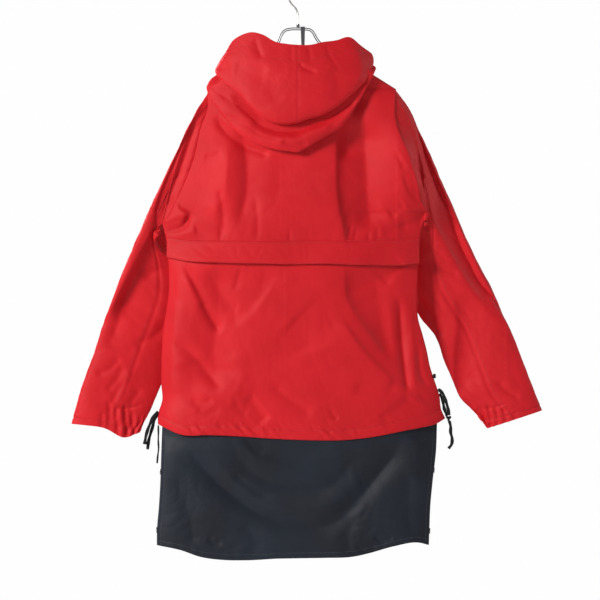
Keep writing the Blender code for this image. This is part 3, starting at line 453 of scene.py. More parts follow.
# creases of the back: depth (less than 0 is a ridge), half width on the right and on the left as
# the line runs down, then the points that the line runs through
backCreases = [
    # between the shoulders
    (10, 24, 0, [(84, -250), (81, -330), (80, -400), (85, -460), (96, -510), (98, -550)]),
    (18, 40, 30, [(136, -270), (142, -360), (146, -440), (154, -520)]),
    (9, 26, 18, [(132, -214), (116, -264), (106, -316), (100, -370)]),
    (7, 8, 9, [(-176, -262), (-156, -296), (-122, -326), (-80, -344), (-56, -350)]),
    (-6, 12, 26, [(212, -250), (214, -300), (226, -350), (236, -420), (252, -470)]),
    (8, 30, 16, [(-122, -286), (-112, -330), (-106, -390), (-110, -450), (-128, -510)]),
    (-7, 22, 30, [(-148, -320), (-150, -390), (-158, -440), (-190, -490)]),
    (4, 46, 46, [(-30, -340), (-40, -390), (-34, -450)]),
    (4, 10, 9, [(-166, -420), (-160, -450), (-157, -490), (-160, -534)]),
    (2, 6, 9, [(-92, -440), (-84, -480), (-86, -534)]),
    (2.6, 5, 8, [(-196, -352), (-180, -356), (-160, -346)]),
    # left underarm
    (-11, 0, 15, [(-224, -470), (-234, -484), (-256, -488), (-288, -494)]),
    (11, 7, 5, [(-228, -474), (-236, -494), (-252, -506), (-284, -510)]),
    (-4, 9, 12, [(-210, -508), (-236, -514), (-276, -520)]),
    # ticks above the band's seam
    (1.3, 3, 4, [(-163, -500), (-163, -518), (-162, -536)]),
    (1.6, 4, 3, [(-19, -508), (-17, -520), (-20, -536)]),
    (2.0, 3, 5, [(112, -498), (108, -512), (104, -536)]),
    (1.2, 3, 4, [(126, -508), (121, -516), (117, -536)]),
    (1.5, 4, 3, [(150, -512), (147, -520), (147, -536)]),
    (1.4, 6, 4, [(169, -500), (166, -510), (165, -536)]),
    # right armhole and underarm
    (5, 9, 0, [(216, -388), (222, -412), (234, -438), (256, -456)]),
    (3, 5, 5, [(206, -346), (214, -364), (232, -382)]),
    (2.6, 5, 5, [(214, -370), (224, -384), (240, -392)]),
    (3.6, 0, 9, [(230, -462), (212, -474), (196, -486)]),
    (6, 8, 0, [(278, -470), (258, -476), (236, -488), (200, -498)]),
    (7, 6, 5, [(270, -468), (262, -482), (252, -504)]),
    (3, 8, 16, [(236, -498), (206, -506), (176, -520)]),
    # below the band: left half
    (13, 60, 44, [(-170, -575), (-166, -660), (-176, -760), (-166, -850)]),
    (-6, 20, 12, [(-252, -590), (-258, -680), (-262, -780), (-266, -870)]),
    (7, 13, 8, [(-246, -572), (-222, -612), (-200, -660), (-176, -704), (-158, -724)]),
    (-4, 8, 12, [(-240, -600), (-216, -640), (-196, -668)]),
    (3.5, 7, 7, [(-264, -590), (-262, -622), (-250, -668)]),
    (2.5, 14, 12, [(-190, -590), (-168, -630), (-140, -668), (-122, -676)]),
    (2, 4, 0, [(-122, -584), (-130, -612), (-138, -636)]),
    (3, 0, 16, [(-34, -594), (-64, -640), (-100, -688), (-150, -726)]),
    (6, 10, 14, [(-274, -748), (-240, -754), (-208, -784), (-180, -818), (-154, -846)]),
    (5, 30, 34, [(-230, -780), (-220, -830), (-236, -880)]),
    (-3, 22, 22, [(-140, -760), (-120, -820), (-150, -880)]),
    # below the band: middle and right
    (4, 44, 40, [(-20, -700), (4, -726), (20, -770)]),
    (9, 30, 0, [(97, -574), (98, -620), (103, -655), (123, -690), (150, -729), (180, -770), (214, -814)]),
    (-5, 6, 34, [(84, -690), (112, -730), (148, -776), (184, -812), (206, -826)]),
    (6, 34, 30, [(160, -580), (168, -650), (178, -720), (190, -780)]),
    (-2, 10, 10, [(190, -650), (198, -720), (204, -790)]),
    (8, 9, 9, [(212, -640), (216, -700), (220, -760), (226, -820), (232, -856)]),
    (-2.4, 6, 8, [(236, -650), (240, -730), (243, -800), (246, -850)]),
    (6, 5, 6, [(254, -744), (255, -780), (260, -816), (276, -838)]),
    (4, 0, 12, [(232, -580), (206, -606), (184, -630)]),
    (3.4, 10, 10, [(112, -838), (160, -838), (214, -842)]),
    (4, 14, 0, [(228, -848), (214, -864), (186, -884), (160, -900)]),
    (4.5, 0, 12, [(-96, -846), (-78, -874), (-52, -902)]),
    (4, 12, 12, [(-60, -830), (-10, -868), (34, -896)]),
    (3, 8, 8, [(-226, -862), (-200, -872), (-176, -860)]),
    (2.4, 6, 6, [(-214, -884), (-190, -892), (-160, -880)]),
    (2.4, 9, 9, [(-132, -850), (-126, -880), (-104, -894)]),
    (2.6, 5, 5, [(66, -884), (74, -896), (84, -906)]),
    (3, 10, 8, [(250, -850), (272, -868), (300, -872)]),
]
frontCreases = [
    (9, 26, 0, [(-84, -250), (-90, -330), (-84, -400), (-92, -470), (-84, -540)]),
    (7, 40, 34, [(-150, -300), (-150, -400), (-160, -500)]),
    (8, 0, 24, [(100, -270), (104, -340), (98, -420), (108, -500), (104, -560)]),
    (7, 34, 40, [(150, -290), (146, -400), (156, -500)]),
    (-5, 20, 26, [(0, -420), (6, -520), (-6, -640)]),
    (6, 14, 0, [(-236, -486), (-200, -560), (-150, -630), (-110, -680)]),
    (6, 0, 14, [(226, -480), (190, -560), (140, -640), (90, -700)]),
    (-5, 12, 12, [(-220, -520), (-176, -600), (-130, -664)]),
    (8, 26, 0, [(-60, -640), (-80, -720), (-110, -800), (-150, -880)]),
    (8, 0, 26, [(70, -660), (96, -740), (140, -820), (190, -890)]),
    (6, 30, 30, [(-230, -640), (-226, -740), (-236, -860)]),
    (7, 26, 26, [(222, -660), (216, -760), (232, -870)]),
    (4, 10, 10, [(-30, -740), (0, -800), (16, -880)]),
    (4, 6, 6, [(-250, -506), (-220, -516), (-180, -540)]),
    (4, 6, 6, [(244, -492), (214, -506), (176, -536)]),
    (3, 5, 5, [(-236, -480), (-206, -470), (-176, -476)]),
    (3, 5, 5, [(236, -462), (206, -458), (180, -466)]),
    (3, 6, 8, [(-40, -250), (-30, -300), (-14, -350)]),
    (3, 8, 6, [(44, -250), (34, -300), (18, -352)]),
]
# armhole: how far a panel's edge stands out on the left and on the right
backCloth = {
    "outward": -1, "depthColumn": 1, "neckDrop": 24.0, "neckDepth": 22.0, "armhole": (8.0, 33.0),
    "leftSquare": 3.4, "waves": ((0.9, 170, 3), (0.45, 62, 5), (0.13, 19, 8)),
    "hem": {"channel": 20.0, "puff": 1.5, "seed": 21,
            "gatherX": (-290, -240, -140, -30, 30, 60, 110, 150, 300),
            "gather": (0.5, 1.3, 1.5, 0.9, 0.5, 1.1, 1.1, 0.5, 0.5)},
    "creases": backCreases,
}
frontCloth = {
    "outward": 1, "depthColumn": 2, "neckDrop": 62.0, "neckDepth": 34.0, "armhole": (15.0, 15.0),
    "leftSquare": 0.0, "waves": ((1.3, 150, 13), (0.5, 52, 15), (0.16, 19, 18)),
    "hem": {"channel": 20.0, "puff": 1.5, "seed": 27,
            "gatherX": (-290, -100, 40, 160, 300), "gather": (0.7, 1.4, 0.7, 1.2, 0.6)},
    "creases": frontCreases,
}


def redPanel(name, grid, node, **more):
    # a piece of the red shell, standing for one of its solids
    return settle(gridPiece(name, grid, redCloth, wall=body["wall"], **more), "red_shell_cloth", node)


leftEdge = partial(column, body["leftEdge"], 1)
rightEdge = partial(column, body["rightEdge"], 1)
hemSag = partial(column, body["hemSag"], 1)
(_, leftTip, rightTip), (_, leftPit, rightPit), (_, leftHem, rightHem) = body["rowEnds"]


def armLine(x):
    # height of the hanger arms' upper wire at x, straight on each side
    left, right = [startZ + (x - startX) * (tipZ - startZ) / (tipX - startX)
                   for (startX, startZ), (tipX, tipZ) in (body["leftArm"], body["rightArm"])]
    return np.where(x < 0, left, right)


def topLine(x, neckDrop):
    # the shoulder seams on the hanger's arms, and the neck edge dipping between them
    lift = body["wireReach"] + body["seatGap"]
    half = body["neckHalf"]
    leftNeck, rightNeck = armLine(np.array([-half, half])) + lift
    share = np.clip((x + half) / (2 * half), 0, 1)
    neck = leftNeck + (rightNeck - leftNeck) * share - neckDrop * np.clip(1 - (x / half) ** 2, 0, 1)
    return np.where(np.abs(x) < half, neck, armLine(x) + lift)


def acrossBody(x, z):
    # place across the body: -1 at its left edge, 1 at its right edge
    left = leftEdge(z)
    right = rightEdge(z)
    return np.clip((2 * x - left - right) / (right - left), -1, 1)


def bodyReach(x, z, cloth):
    # depth of a panel's outer face: a blunt power curve across, rounded off towards the top line. The two
    # panels close up to each other at side and shoulder seams, and their armholes stand out in a half wave
    across = np.abs(acrossBody(x, z))
    square = cloth["leftSquare"] * softStep((-530 - z) / 70) * softStep(-x / 80)
    blunt = column(body["depth"], 3, z) + square
    down = np.where(x < 0, (leftTip - z) / (leftTip - leftPit), (rightTip - z) / (rightTip - rightPit))
    stand = np.where(x < 0, *cloth["armhole"]) * np.sqrt(np.sin(np.pi * np.clip(down, 0, 1)))
    full = column(body["depth"], cloth["depthColumn"], z) * (1 - across**blunt) + stand * across**blunt
    neckShape = np.clip(1 - (x / body["neckHalf"]) ** 2, 0, 1)
    atTop = cloth["neckDepth"] * np.sqrt(neckShape)
    below = np.clip(topLine(x, cloth["neckDrop"]) - z, 0, None)
    turned = np.sqrt(1 - (1 - np.clip(below / (body["shoulderRound"] + 30 * neckShape), 0, 1)) ** 2)
    rim = np.minimum(np.maximum(turned, neckShape), np.maximum(softStep(stand / 3), 1 - across**14))
    return body["seamOut"] + body["edgeOut"] * rim + atTop + (full - atTop) * turned


def bodyRow(level, share, neckDrop):
    # x and z of the panel's grid: share runs 0 to 1 from the left edge to the right edge
    places, left, right = zip(*body["rowEnds"])
    leftZ = np.interp(level, places, left)
    rightZ = np.interp(level, places, right)
    leftX = leftEdge(leftZ)
    x = leftX + (rightEdge(rightZ) - leftX) * share
    tipX = leftEdge(leftTip)
    rise = topLine(tipX + (rightEdge(rightTip) - tipX) * share, neckDrop)
    rise = rise - leftTip - (rightTip - leftTip) * share
    sag = hemSag(share * 2 - 1) * np.clip(level - 1, 0, 1) ** 1.3
    return x, leftZ + (rightZ - leftZ) * share + rise * (1 - softStep(level / 0.62)) + sag


def edgeFade(x, z, neckDrop):
    # creases die out at the seams
    return (1 - np.abs(acrossBody(x, z)) ** 10) * softStep((topLine(x, neckDrop) - z) / 40)


def hemCrinkle(x, above, hem):
    # drawcord channel: a low roll between hem edge and stitching, crossed by short gathers
    roll = hem["puff"] * np.sin(np.pi * np.clip(above / hem["channel"], 0, 1)) ** 0.7
    groove = -0.7 * bell(above - hem["channel"], 2.2)
    pleats = 0.6 * ripples(x + 0.9 * above, above * 0.6, 21, hem["seed"], spread=1.0) * bell(above - 9, 20)
    pleats += 0.5 * crumple(x, above, 26, hem["seed"] + 3) * bell(above - 14, 24)
    fade = softStep((above + 4) / 8) * softStep((120 - above) / 40)
    return (roll + groove + np.interp(x, hem["gatherX"], hem["gather"]) * pleats) * fade


def bodyPanel(levels, shares, cloth):
    # the outer face with its creases, the slight crumple of stiff woven nylon and the crinkled hem
    x, z = bodyRow(levels[:, None], shares, cloth["neckDrop"])
    x = np.broadcast_to(x, z.shape)
    creases = creaseField(x, z, cloth["creases"]) + handling(x, z, *cloth["waves"])
    reach = bodyReach(x, z, cloth) - creases * edgeFade(x, z, cloth["neckDrop"])
    return np.stack([x, cloth["outward"] * (reach + hemCrinkle(x, z - z[-1:], cloth["hem"])), z], axis=2)


# rows crowd together near the hem, where the channel is
backLevels = runs((0, 0.1, 12), (0.1, 1, 68), (1, 1.9, 84), (1.9, 2, 22))
backGrid = bodyPanel(backLevels, np.linspace(0, 1, 215)[None], backCloth)
back = redPanel("backPanel", backGrid, "back")
backNormals = gridNormals(backGrid)

# the front's two halves part at the neck slit: each column keeps its share of its own half
slit = {"bottom": -362.0, "halfColumns": 62, "shutHalf": 0.9, "opens": 4.6, "taper": 150}
frontLevels = runs((0, 0.1, 8), (0.1, 1, 44), (1, 1.9, 46), (1.9, 2, 16))
frontRow = partial(bodyRow, frontLevels[:, None], neckDrop=frontCloth["neckDrop"])
sides = frontRow(share=np.array([[0.0, 1.0]]))[0]
width = sides[:, 1:] - sides[:, :1]
middleShare = -sides[:, :1] / width
middleZ = frontRow(share=middleShare)[1]
slitGap = (slit["shutHalf"] + slit["opens"] * softStep((middleZ - slit["bottom"]) / slit["taper"])) / width
half = np.linspace(0, 1, slit["halfColumns"])[None]
leftShares = half * (middleShare - slitGap)
rightShares = middleShare + slitGap + half * (1 - middleShare - slitGap)
frontGrid = bodyPanel(frontLevels, np.concatenate([leftShares, rightShares], axis=1), frontCloth)
shut = np.ones((frontGrid.shape[0] - 1, frontGrid.shape[1] - 1), bool)
shut[:, slit["halfColumns"] - 1] = middleZ[1:, 0] < slit["bottom"]
front = redPanel("frontPanel", frontGrid, "front", turned=True, keep=shut)
frontNormals = -gridNormals(frontGrid)
print("body panels ready")


# ---- casing band across the back
band = {
    "inset": 0.004, "columns": 300, "stand": 6.5, "levels": (-524.0, -526.0),
    "rows": [  # x, top edge, lower edge
    (-272, -524, -566), (-248, -528, -571), (-206, -531, -575), (-122, -532, -578),
    (-38, -533, -580), (46, -531, -579), (109, -532, -581), (172, -530, -582), (206, -529, -582),
    (253, -526, -579)]}


def bandPanel():
    # the strip follows the back, its top edge sewn close and its lower edge standing off in slow waves
    shares = np.linspace(band["inset"], 1 - band["inset"], band["columns"])
    left = leftEdge(band["levels"][0])
    x = (left + (rightEdge(band["levels"][1]) - left) * shares)[None]
    drop = np.concatenate([[-0.02], np.linspace(0, 1, 26), [1.012]])[:, None]
    inDrop = np.clip(drop, 0, 1)
    top = column(band["rows"], 1, x) + 0.5 * ripples(x, 0 * x, 60, 33)
    low = column(band["rows"], 2, x) + 0.8 * ripples(x, 0 * x, 70, 34)
    z = top + (low - top) * drop
    wave = 1 + 0.35 * ripples(x, 0 * x, 90, 31)
    x = np.broadcast_to(x, z.shape)
    folds = 0.75 * creaseField(x, z, backCloth["creases"]) * edgeFade(x, z, backCloth["neckDrop"])
    stand = 1.0 + 1.1 * np.sqrt(np.clip(drop * 9, 0, 1)) + band["stand"] * inDrop**1.4 * wave
    groove = 0.5 * bell(drop - 0.93, 0.03) + 0.4 * bell(drop - 0.05, 0.03)
    ruck = 0.4 * crumple(x, z * 0.6, 34, 35) * np.sin(np.pi * inDrop)
    rim = 2.0 * ((drop < 0) | (drop > 1))
    return np.stack([x, folds - bodyReach(x, z, backCloth) - stand + groove + ruck + rim, z], axis=2)


bandGrid = bandPanel()
bandPiece = redPanel("waistBand", bandGrid, "waist_band")
bandNormals = gridNormals(bandGrid)
print("band ready")


# ---- sleeves
sleeves = {
    "seamRows": (0, 0.04, 0.09, 0.15), "rows": 128, "cuffRows": 30, "backColumns": 66, "frontColumns": 56,
    "seamTurn": 99.0, "innerFlat": 0.6, "seamTuck": 1.4,
    "gathers": 5, "gatherDepth": 3.0, "cuffDip": 18.0, "hemUp": 0.42,
    # the flank that turns away along the outer edge: height of the edge, width, depth
    "leftFlank": [(-200, 24, -6), (-300, 34, -14), (-450, 42, -16), (-600, 42, -15), (-676, 34, -11),
                  (-700, 20, 0), (-930, 20, 0)],
    "rightFlank": [(-200, 14, 4), (-300, 28, 13), (-380, 40, 19), (-500, 48, 20), (-610, 42, 17),
                   (-668, 28, 8), (-700, 20, 0), (-930, 20, 0)],
    # outer edge x, z, y; inner edge x, z, y; half depth; roll of the front half under the arm
    "left": [(-220, -271, 3, -288, -500, 1, 20, 0), (-252, -336, 8, -291, -506, 4, 22, 8),
             (-284, -403, 14, -296, -515, 9, 23, 22), (-311, -462, 20, -292, -532, 17, 22, 24),
             (-336, -519, 25, -274, -560, 30, 21, 10), (-359, -575, 29, -242, -602, 42, 20, 0),
             (-378, -624, 32, -230, -660, 47, 19, 0), (-397, -676, 33, -246, -718, 45, 18, 0),
             (-416, -729, 34, -273, -785, 42, 18, 0), (-437, -785, 34, -290, -836, 40, 18, 0),
             (-458, -844, 34, -308, -880, 38, 18, 0), (-469, -884, 34, -320, -903, 37, 19, 0),
             (-478, -916, 34, -336, -930, 36, 20, 0)],
    "right": [(233, -254, 3, 275, -476, 1, 20, 0), (256, -304, 8, 269, -487, 4, 22, 4),
              (281, -361, 14, 268, -496, 9, 23, 6), (304, -414, 20, 257, -513, 17, 22, 3),
              (330, -470, 25, 253, -540, 30, 21, 4), (357, -533, 29, 233, -582, 42, 20, 0),
              (384, -588, 32, 232, -640, 47, 19, 0), (412, -640, 33, 262, -697, 45, 18, 0),
              (435, -691, 34, 290, -733, 42, 18, 0), (458, -741, 34, 307, -777, 40, 18, 0),
              (477, -792, 34, 326, -825, 38, 18, 0), (496, -840, 34, 340, -858, 37, 19, 0),
              (506, -866, 34, 372, -893, 36, 20, 0), (514, -888, 34, 400, -926, 36, 20, 0)],
}
# creases of the sleeves, back halves then front halves, as in the back's table
sleeveCreases = {
    ("left", 1): [
        (8, 13, 12, [(-206, -262), (-224, -322), (-247, -384), (-270, -440), (-290, -496)]),
        (10, 25, 0, [(-290, -470), (-314, -522), (-342, -576), (-371, -632), (-404, -694)]),
        (4, 7, 7, [(-205, -415), (-228, -408), (-252, -424)]),
        (3.4, 6, 6, [(-216, -440), (-246, -440), (-276, -458)]),
        (4, 12, 12, [(-240, -600), (-282, -590), (-330, -616)]),
        (-4, 12, 16, [(-334, -556), (-372, -624), (-400, -690), (-430, -770)]),
        (4, 18, 10, [(-316, -556), (-350, -624), (-376, -690), (-402, -760)]),
        (3.5, 12, 10, [(-262, -690), (-300, -730), (-350, -752)]),
        (3.0, 8, 8, [(-372, -772), (-396, -800), (-430, -812)]),
        (3.0, 7, 7, [(-366, -790), (-384, -826), (-404, -850)]),
        (2.6, 6, 6, [(-362, -824), (-380, -850), (-392, -876)]),
        (-2.6, 7, 7, [(-350, -800), (-366, -840), (-378, -880)]),
        (3.0, 8, 8, [(-330, -840), (-350, -870), (-352, -900)]),
        (4.2, 4, 5, [(-398, -864), (-396, -900), (-402, -940)]),
        (3.4, 4, 3, [(-384, -880), (-382, -908), (-378, -946)]),
        (4.4, 5, 4, [(-366, -868), (-364, -904), (-358, -948)]),
        (3.6, 4, 4, [(-350, -890), (-348, -914), (-344, -940)]),
        (-3.2, 5, 5, [(-374, -880), (-372, -912), (-370, -946)]),
        (2.6, 3, 3, [(-392, -881), (-362, -884), (-326, -876)]),
        (3.0, 3, 4, [(-412, -890), (-412, -912), (-416, -932)]),
    ],
    ("right", 1): [
        (9, 30, 0, [(222, -270), (242, -340), (256, -396), (273, -448), (290, -500), (320, -552), (348, -602),
                    (384, -652), (414, -674)]),
        (4, 9, 9, [(414, -662), (440, -654), (462, -650)]),
        (4.5, 9, 10, [(246, -648), (278, -686), (306, -738)]),
        (8, 22, 0, [(322, -640), (334, -700), (330, -760), (328, -812), (338, -862)]),
        (3.5, 10, 10, [(270, -560), (300, -590), (350, -600)]),
        (4, 8, 8, [(372, -880), (392, -904), (408, -930)]),
        (3, 6, 6, [(360, -868), (372, -892), (380, -904)]),
        (3, 8, 8, [(420, -820), (440, -848), (470, -860)]),
        (4.5, 6, 6, [(252, -466), (264, -482), (274, -512)]),
        (4.2, 4, 4, [(399, -872), (404, -896), (408, -928)]),
        (3.2, 3, 4, [(414, -876), (420, -900), (424, -922)]),
        (4.0, 4, 5, [(386, -880), (390, -900), (396, -922)]),
        (2.8, 3, 3, [(430, -880), (436, -900), (442, -914)]),
        (2.6, 3, 3, [(372, -874), (400, -884), (444, -872)]),
    ],
    ("left", -1): [
        (4, 14, 14, [(-230, -310), (-262, -400), (-290, -480)]),
        (5, 10, 10, [(-262, -540), (-310, -560), (-352, -600)]),
        (4, 16, 12, [(-300, -600), (-350, -690), (-390, -780)]),
        (3, 8, 8, [(-320, -780), (-360, -810), (-410, -820)]),
        (3, 7, 7, [(-350, -840), (-380, -860), (-420, -866)]),
    ],
    ("right", -1): [
        (4, 14, 14, [(240, -300), (262, -380), (284, -460)]),
        (5, 10, 10, [(250, -520), (300, -540), (350, -580)]),
        (4, 16, 12, [(300, -590), (350, -670), (400, -750)]),
        (3, 8, 8, [(330, -760), (380, -790), (430, -790)]),
        (3, 7, 7, [(370, -840), (410, -850), (460, -850)]),
    ],
}


def sleeveRings(side, rows, stations, turns):
    # rings round the sleeve, the armhole loop first, then flattened ovals read from the table;
    # turn 0 is the outer edge, 180 the inner edge, positive turns lie on the back
    onLeft = side < 0
    tipZ, pitZ = (leftTip, leftPit) if onLeft else (rightTip, rightPit)
    sine = np.sin(np.radians(turns))
    face = np.sign(sine)
    share = (1 - np.cos(np.radians(turns))) / 2
    loopZ = tipZ + (pitZ - tipZ) * share
    loopX = (leftEdge if onLeft else rightEdge)(loopZ) - side * sleeves["seamTuck"]
    depths = [cloth["armhole"][0 if onLeft else 1] for cloth in (backCloth, frontCloth)]
    stand = np.where(sine > 0, *depths) * np.sqrt(np.sin(np.pi * share))
    stand = stand + body["seamOut"] + 0.5 * softStep(stand / 3)
    rings = [np.stack([loopX, -stand * face * np.minimum(1, np.abs(sine) * 4), loopZ], axis=1)]
    rollPlace = np.clip((turns % 360 - 180) / 100, 0, 1)
    flatter = np.where(sine > 0, 1 - sleeves["innerFlat"] * share, 1)
    for row in rows:
        outer = np.array(row[:3])
        (x, z, y), (halfDepth, roll) = (outer + (row[3:6] - outer) * share[:, None]).T, row[6:]
        x = x - side * roll * np.sin(np.pi * rollPlace)
        rings.append(np.stack([x, y - halfDepth * np.abs(sine) ** 0.8 * flatter * face, z], axis=1))
    return smoothCurve(range(len(rings)), np.array(rings), stations)


def ringNormals(grid):
    # normals of a grid whose last column lies on its first
    return gridNormals(np.concatenate([grid[:, -2:-1], grid, grid[:, 1:2]], axis=1))[:, 1:-1]


def sleeveShape(side, label, stations, turns, last):
    # the bare sleeve: its rings, the dip of the cuff and the flank along the outer edge
    grid = sleeveRings(side, sleeves[label], stations, turns)
    share = (1 - np.cos(np.radians(turns))) / 2
    if side < 0:
        dip = sleeves["cuffDip"] * bell(share - 0.78, 0.2)
        grid[..., 2] -= dip * softStep(stations - (last - 1))[:, None]
    # the flank: depth * (1 - distance from the outer edge / width), rounded at its inner end
    outerEdge = grid[:, sleeves["backColumns"] // 2 - 1][:, None]
    away = np.hypot(grid[..., 0] - outerEdge[..., 0], grid[..., 2] - outerEdge[..., 2])
    heights, widths, depths = np.array(sleeves[label + "Flank"])[::-1].T
    left = 1 - away / np.interp(outerEdge[..., 2], heights, widths)
    flank = np.interp(outerEdge[..., 2], heights, depths) * (left + np.sqrt(left**2 + 0.05)) / 2
    grid[..., 1] += flank * softStep(stations[:, None] / 0.8) * softStep(np.sin(np.radians(turns)) * 3 + 1)
    return grid


def sleevePanel(side, label):
    last = len(sleeves[label])
    stations = np.concatenate([sleeves["seamRows"], np.linspace(0.22, last - 1.2, sleeves["rows"]),
                               np.linspace(last - 1.15, last, sleeves["cuffRows"])])
    seam = sleeves["seamTurn"]
    turns = runs((-seam, seam, sleeves["backColumns"]), (seam, 360 - seam, sleeves["frontColumns"]))
    turns = (turns + 180) % 360 - 180
    turns[-1] = -seam
    grid = sleeveShape(side, label, stations, turns, last)
    normals = ringNormals(grid)
    normals *= np.sign(np.sum(normals * (grid - grid.mean(axis=1, keepdims=True))))
    x, z = grid[..., 0], grid[..., 2]
    onBack = softStep(np.sin(np.radians(turns)) * 2.2 + 0.5)[None]
    seed = 40 if side < 0 else 60
    creases = creaseField(x, z, sleeveCreases[label, 1]) * onBack
    creases += creaseField(x, z, sleeveCreases[label, -1]) * (1 - onBack)
    creases += handling(x + 300 * onBack, z, (0.9, 110, seed), (0.5, 46, seed + 2), (0.16, 18, seed + 4))
    down = stations[:, None]
    creases *= softStep(down / 0.7)
    # the armhole seam: a groove at the join, with short puckers running out of it
    around = lengthAlong(grid[4])[None]
    creases += 0.9 * bell(down, 0.1)
    creases += 0.8 * ripples(around, 0 * down, 30, seed + 6, spread=0.3) * bell(down - 0.25, 0.3)
    # the long seams, each a shallow groove between two faint rolls
    for place in (seam, -seam):
        away = np.abs(turns - place)[None]
        creases += 1.4 * bell(away, 1.7) - 0.4 * bell(away - 7, 4.5)
        creases += 0.35 * ripples(down * 60, 0 * away, 34, seed + 8, spread=0.3) * bell(away, 12)
    # elastic in the inner half of the cuff: deep pleats over the last rows, and a flat outer hem
    under = np.clip((np.abs(turns) - 78) / 102, 0, 1)[None]
    pleats = np.cos(np.pi * 2 * sleeves["gathers"] * under + 0.9 * np.sin(down * 7)) * under**0.4
    creases -= sleeves["gatherDepth"] * 0.62 * pleats * softStep((down - (last - 1.5)) / 1.3)
    creases += 1.1 * bell(down - (last - sleeves["hemUp"]), 0.07) * softStep((down - last + 1) / 0.3)
    grid = grid - normals * creases[..., None]
    final = ringNormals(grid)
    return grid, final * np.sign(np.sum(final * normals)), stations


sleeveLines = []
sleeveParts = []
seamColumn = sleeves["backColumns"] - 1
for side, label in ((-1, "left"), (1, "right")):
    grid, normals, stations = sleevePanel(side, label)
    for name, span in (("Upper", slice(0, seamColumn + 1)), ("Under", slice(seamColumn, None))):
        part = redPanel(label + "Sleeve" + name, grid[:, span], "sleeve_" + label + "_" + name.lower(),
                        turned=side > 0, shade=normals[:, span])
        sleeveParts.append((label + name, part, grid[:, span]))
    sleeveLines.append((label, grid, normals, stations))
print("sleeves ready")


# ---- hood, thrown back
hood = {
    "columns": 251, "lowerClear": 5.0, "upperClear": 13.0, "shoulderLift": 10.0,
    "hem": 0.93, "seamStart": 0.62,
    # angle round the neck (0 nape, 90 right side, 180 throat): roll x, z, y; crease x, z; pouch puff;
    # face edge x, z, y
    "rows": [(-176, -17, -238, 44, -16, -226, 0.20, -13, -204, 48),
             (-150, -92, -214, 42, -84, -196, 0.25, -78, -158, 42),
             (-125, -146, -196, 30, -124, -168, 0.30, -118, -130, 24),
             (-105, -180, -200, 12, -150, -168, 0.38, -142, -126, 8),
             (-90, -191, -214, -10, -160, -178, 0.45, -151, -134, -8),
             (-75, -166, -258, -28, -134, -208, 0.65, -134, -109, -18),
             (-60, -127, -306, -40, -99, -243, 0.85, -102, -95, -27),
             (-45, -84, -331, -46, -69, -275, 0.95, -74, -100, -34),
             (-30, -49, -341, -49, -42, -288, 1.00, -48, -115, -40),
             (-15, -21, -345, -50, -19, -290, 1.00, -23, -120, -43),
             (0, 2, -347, -50, 0, -287, 1.00, 0, -122, -44),
             (15, 27, -333, -50, 23, -278, 1.00, 25, -122, -43),
             (30, 57, -315, -49, 48, -270, 1.00, 52, -116, -40),
             (45, 88, -297, -46, 78, -250, 0.95, 80, -112, -34),
             (60, 114, -262, -40, 102, -226, 0.85, 108, -105, -27),
             (75, 140, -213, -28, 126, -196, 0.65, 134, -124, -18),
             (90, 161, -172, -8, 142, -162, 0.45, 155, -138, -8),
             (105, 158, -172, 12, 136, -152, 0.38, 138, -126, 8),
             (125, 132, -184, 30, 116, -160, 0.30, 112, -128, 24),
             (150, 88, -210, 42, 82, -192, 0.25, 76, -156, 42),
             (176, 17, -236, 44, 16, -224, 0.20, 13, -203, 48)],
    "knots": [0, 0.07, 0.22, 0.36, 0.42, 0.52, 0.60, 0.67, 0.83, 1.0],
}
# creases of the hood's two layers, as in the back's table: the outer roll, then the pouch above it
rollCreases = [
    (4, 10, 12, [(-160, -262), (-108, -290), (-74, -312), (-23, -322)]),
    (-4, 12, 12, [(-150, -220), (-120, -262), (-84, -292)]),
    (3, 8, 8, [(60, -300), (96, -268), (124, -236)]),
    (4, 8, 8, [(-36, -322), (-8, -334), (24, -330)]),
]
pouchCreases = [
    (3, 16, 20, [(-151, -150), (-150, -186), (-134, -218), (-108, -252)]),
    (-3, 14, 20, [(-168, -160), (-166, -196), (-150, -232), (-120, -270)]),
    (2.6, 0, 16, [(-134, -152), (-101, -157), (-56, -165)]),
    (2.5, 26, 26, [(-60, -176), (-58, -216), (-44, -252)]),
    (2.5, 5, 9, [(-90, -106), (-84, -128), (-74, -152)]),
    (0.7, 4, 4, [(-16, -122), (-14, -140), (-16, -158)]),
    (1.0, 4, 5, [(20, -122), (24, -140), (26, -160)]),
    (1.2, 5, 5, [(58, -118), (68, -148), (92, -182)]),
    (2.2, 4, 6, [(2, -160), (14, -171), (42, -181)]),
    (2.2, 16, 16, [(70, -170), (84, -206), (76, -244)]),
    (-2.4, 14, 14, [(112, -120), (132, -160), (120, -210)]),
]


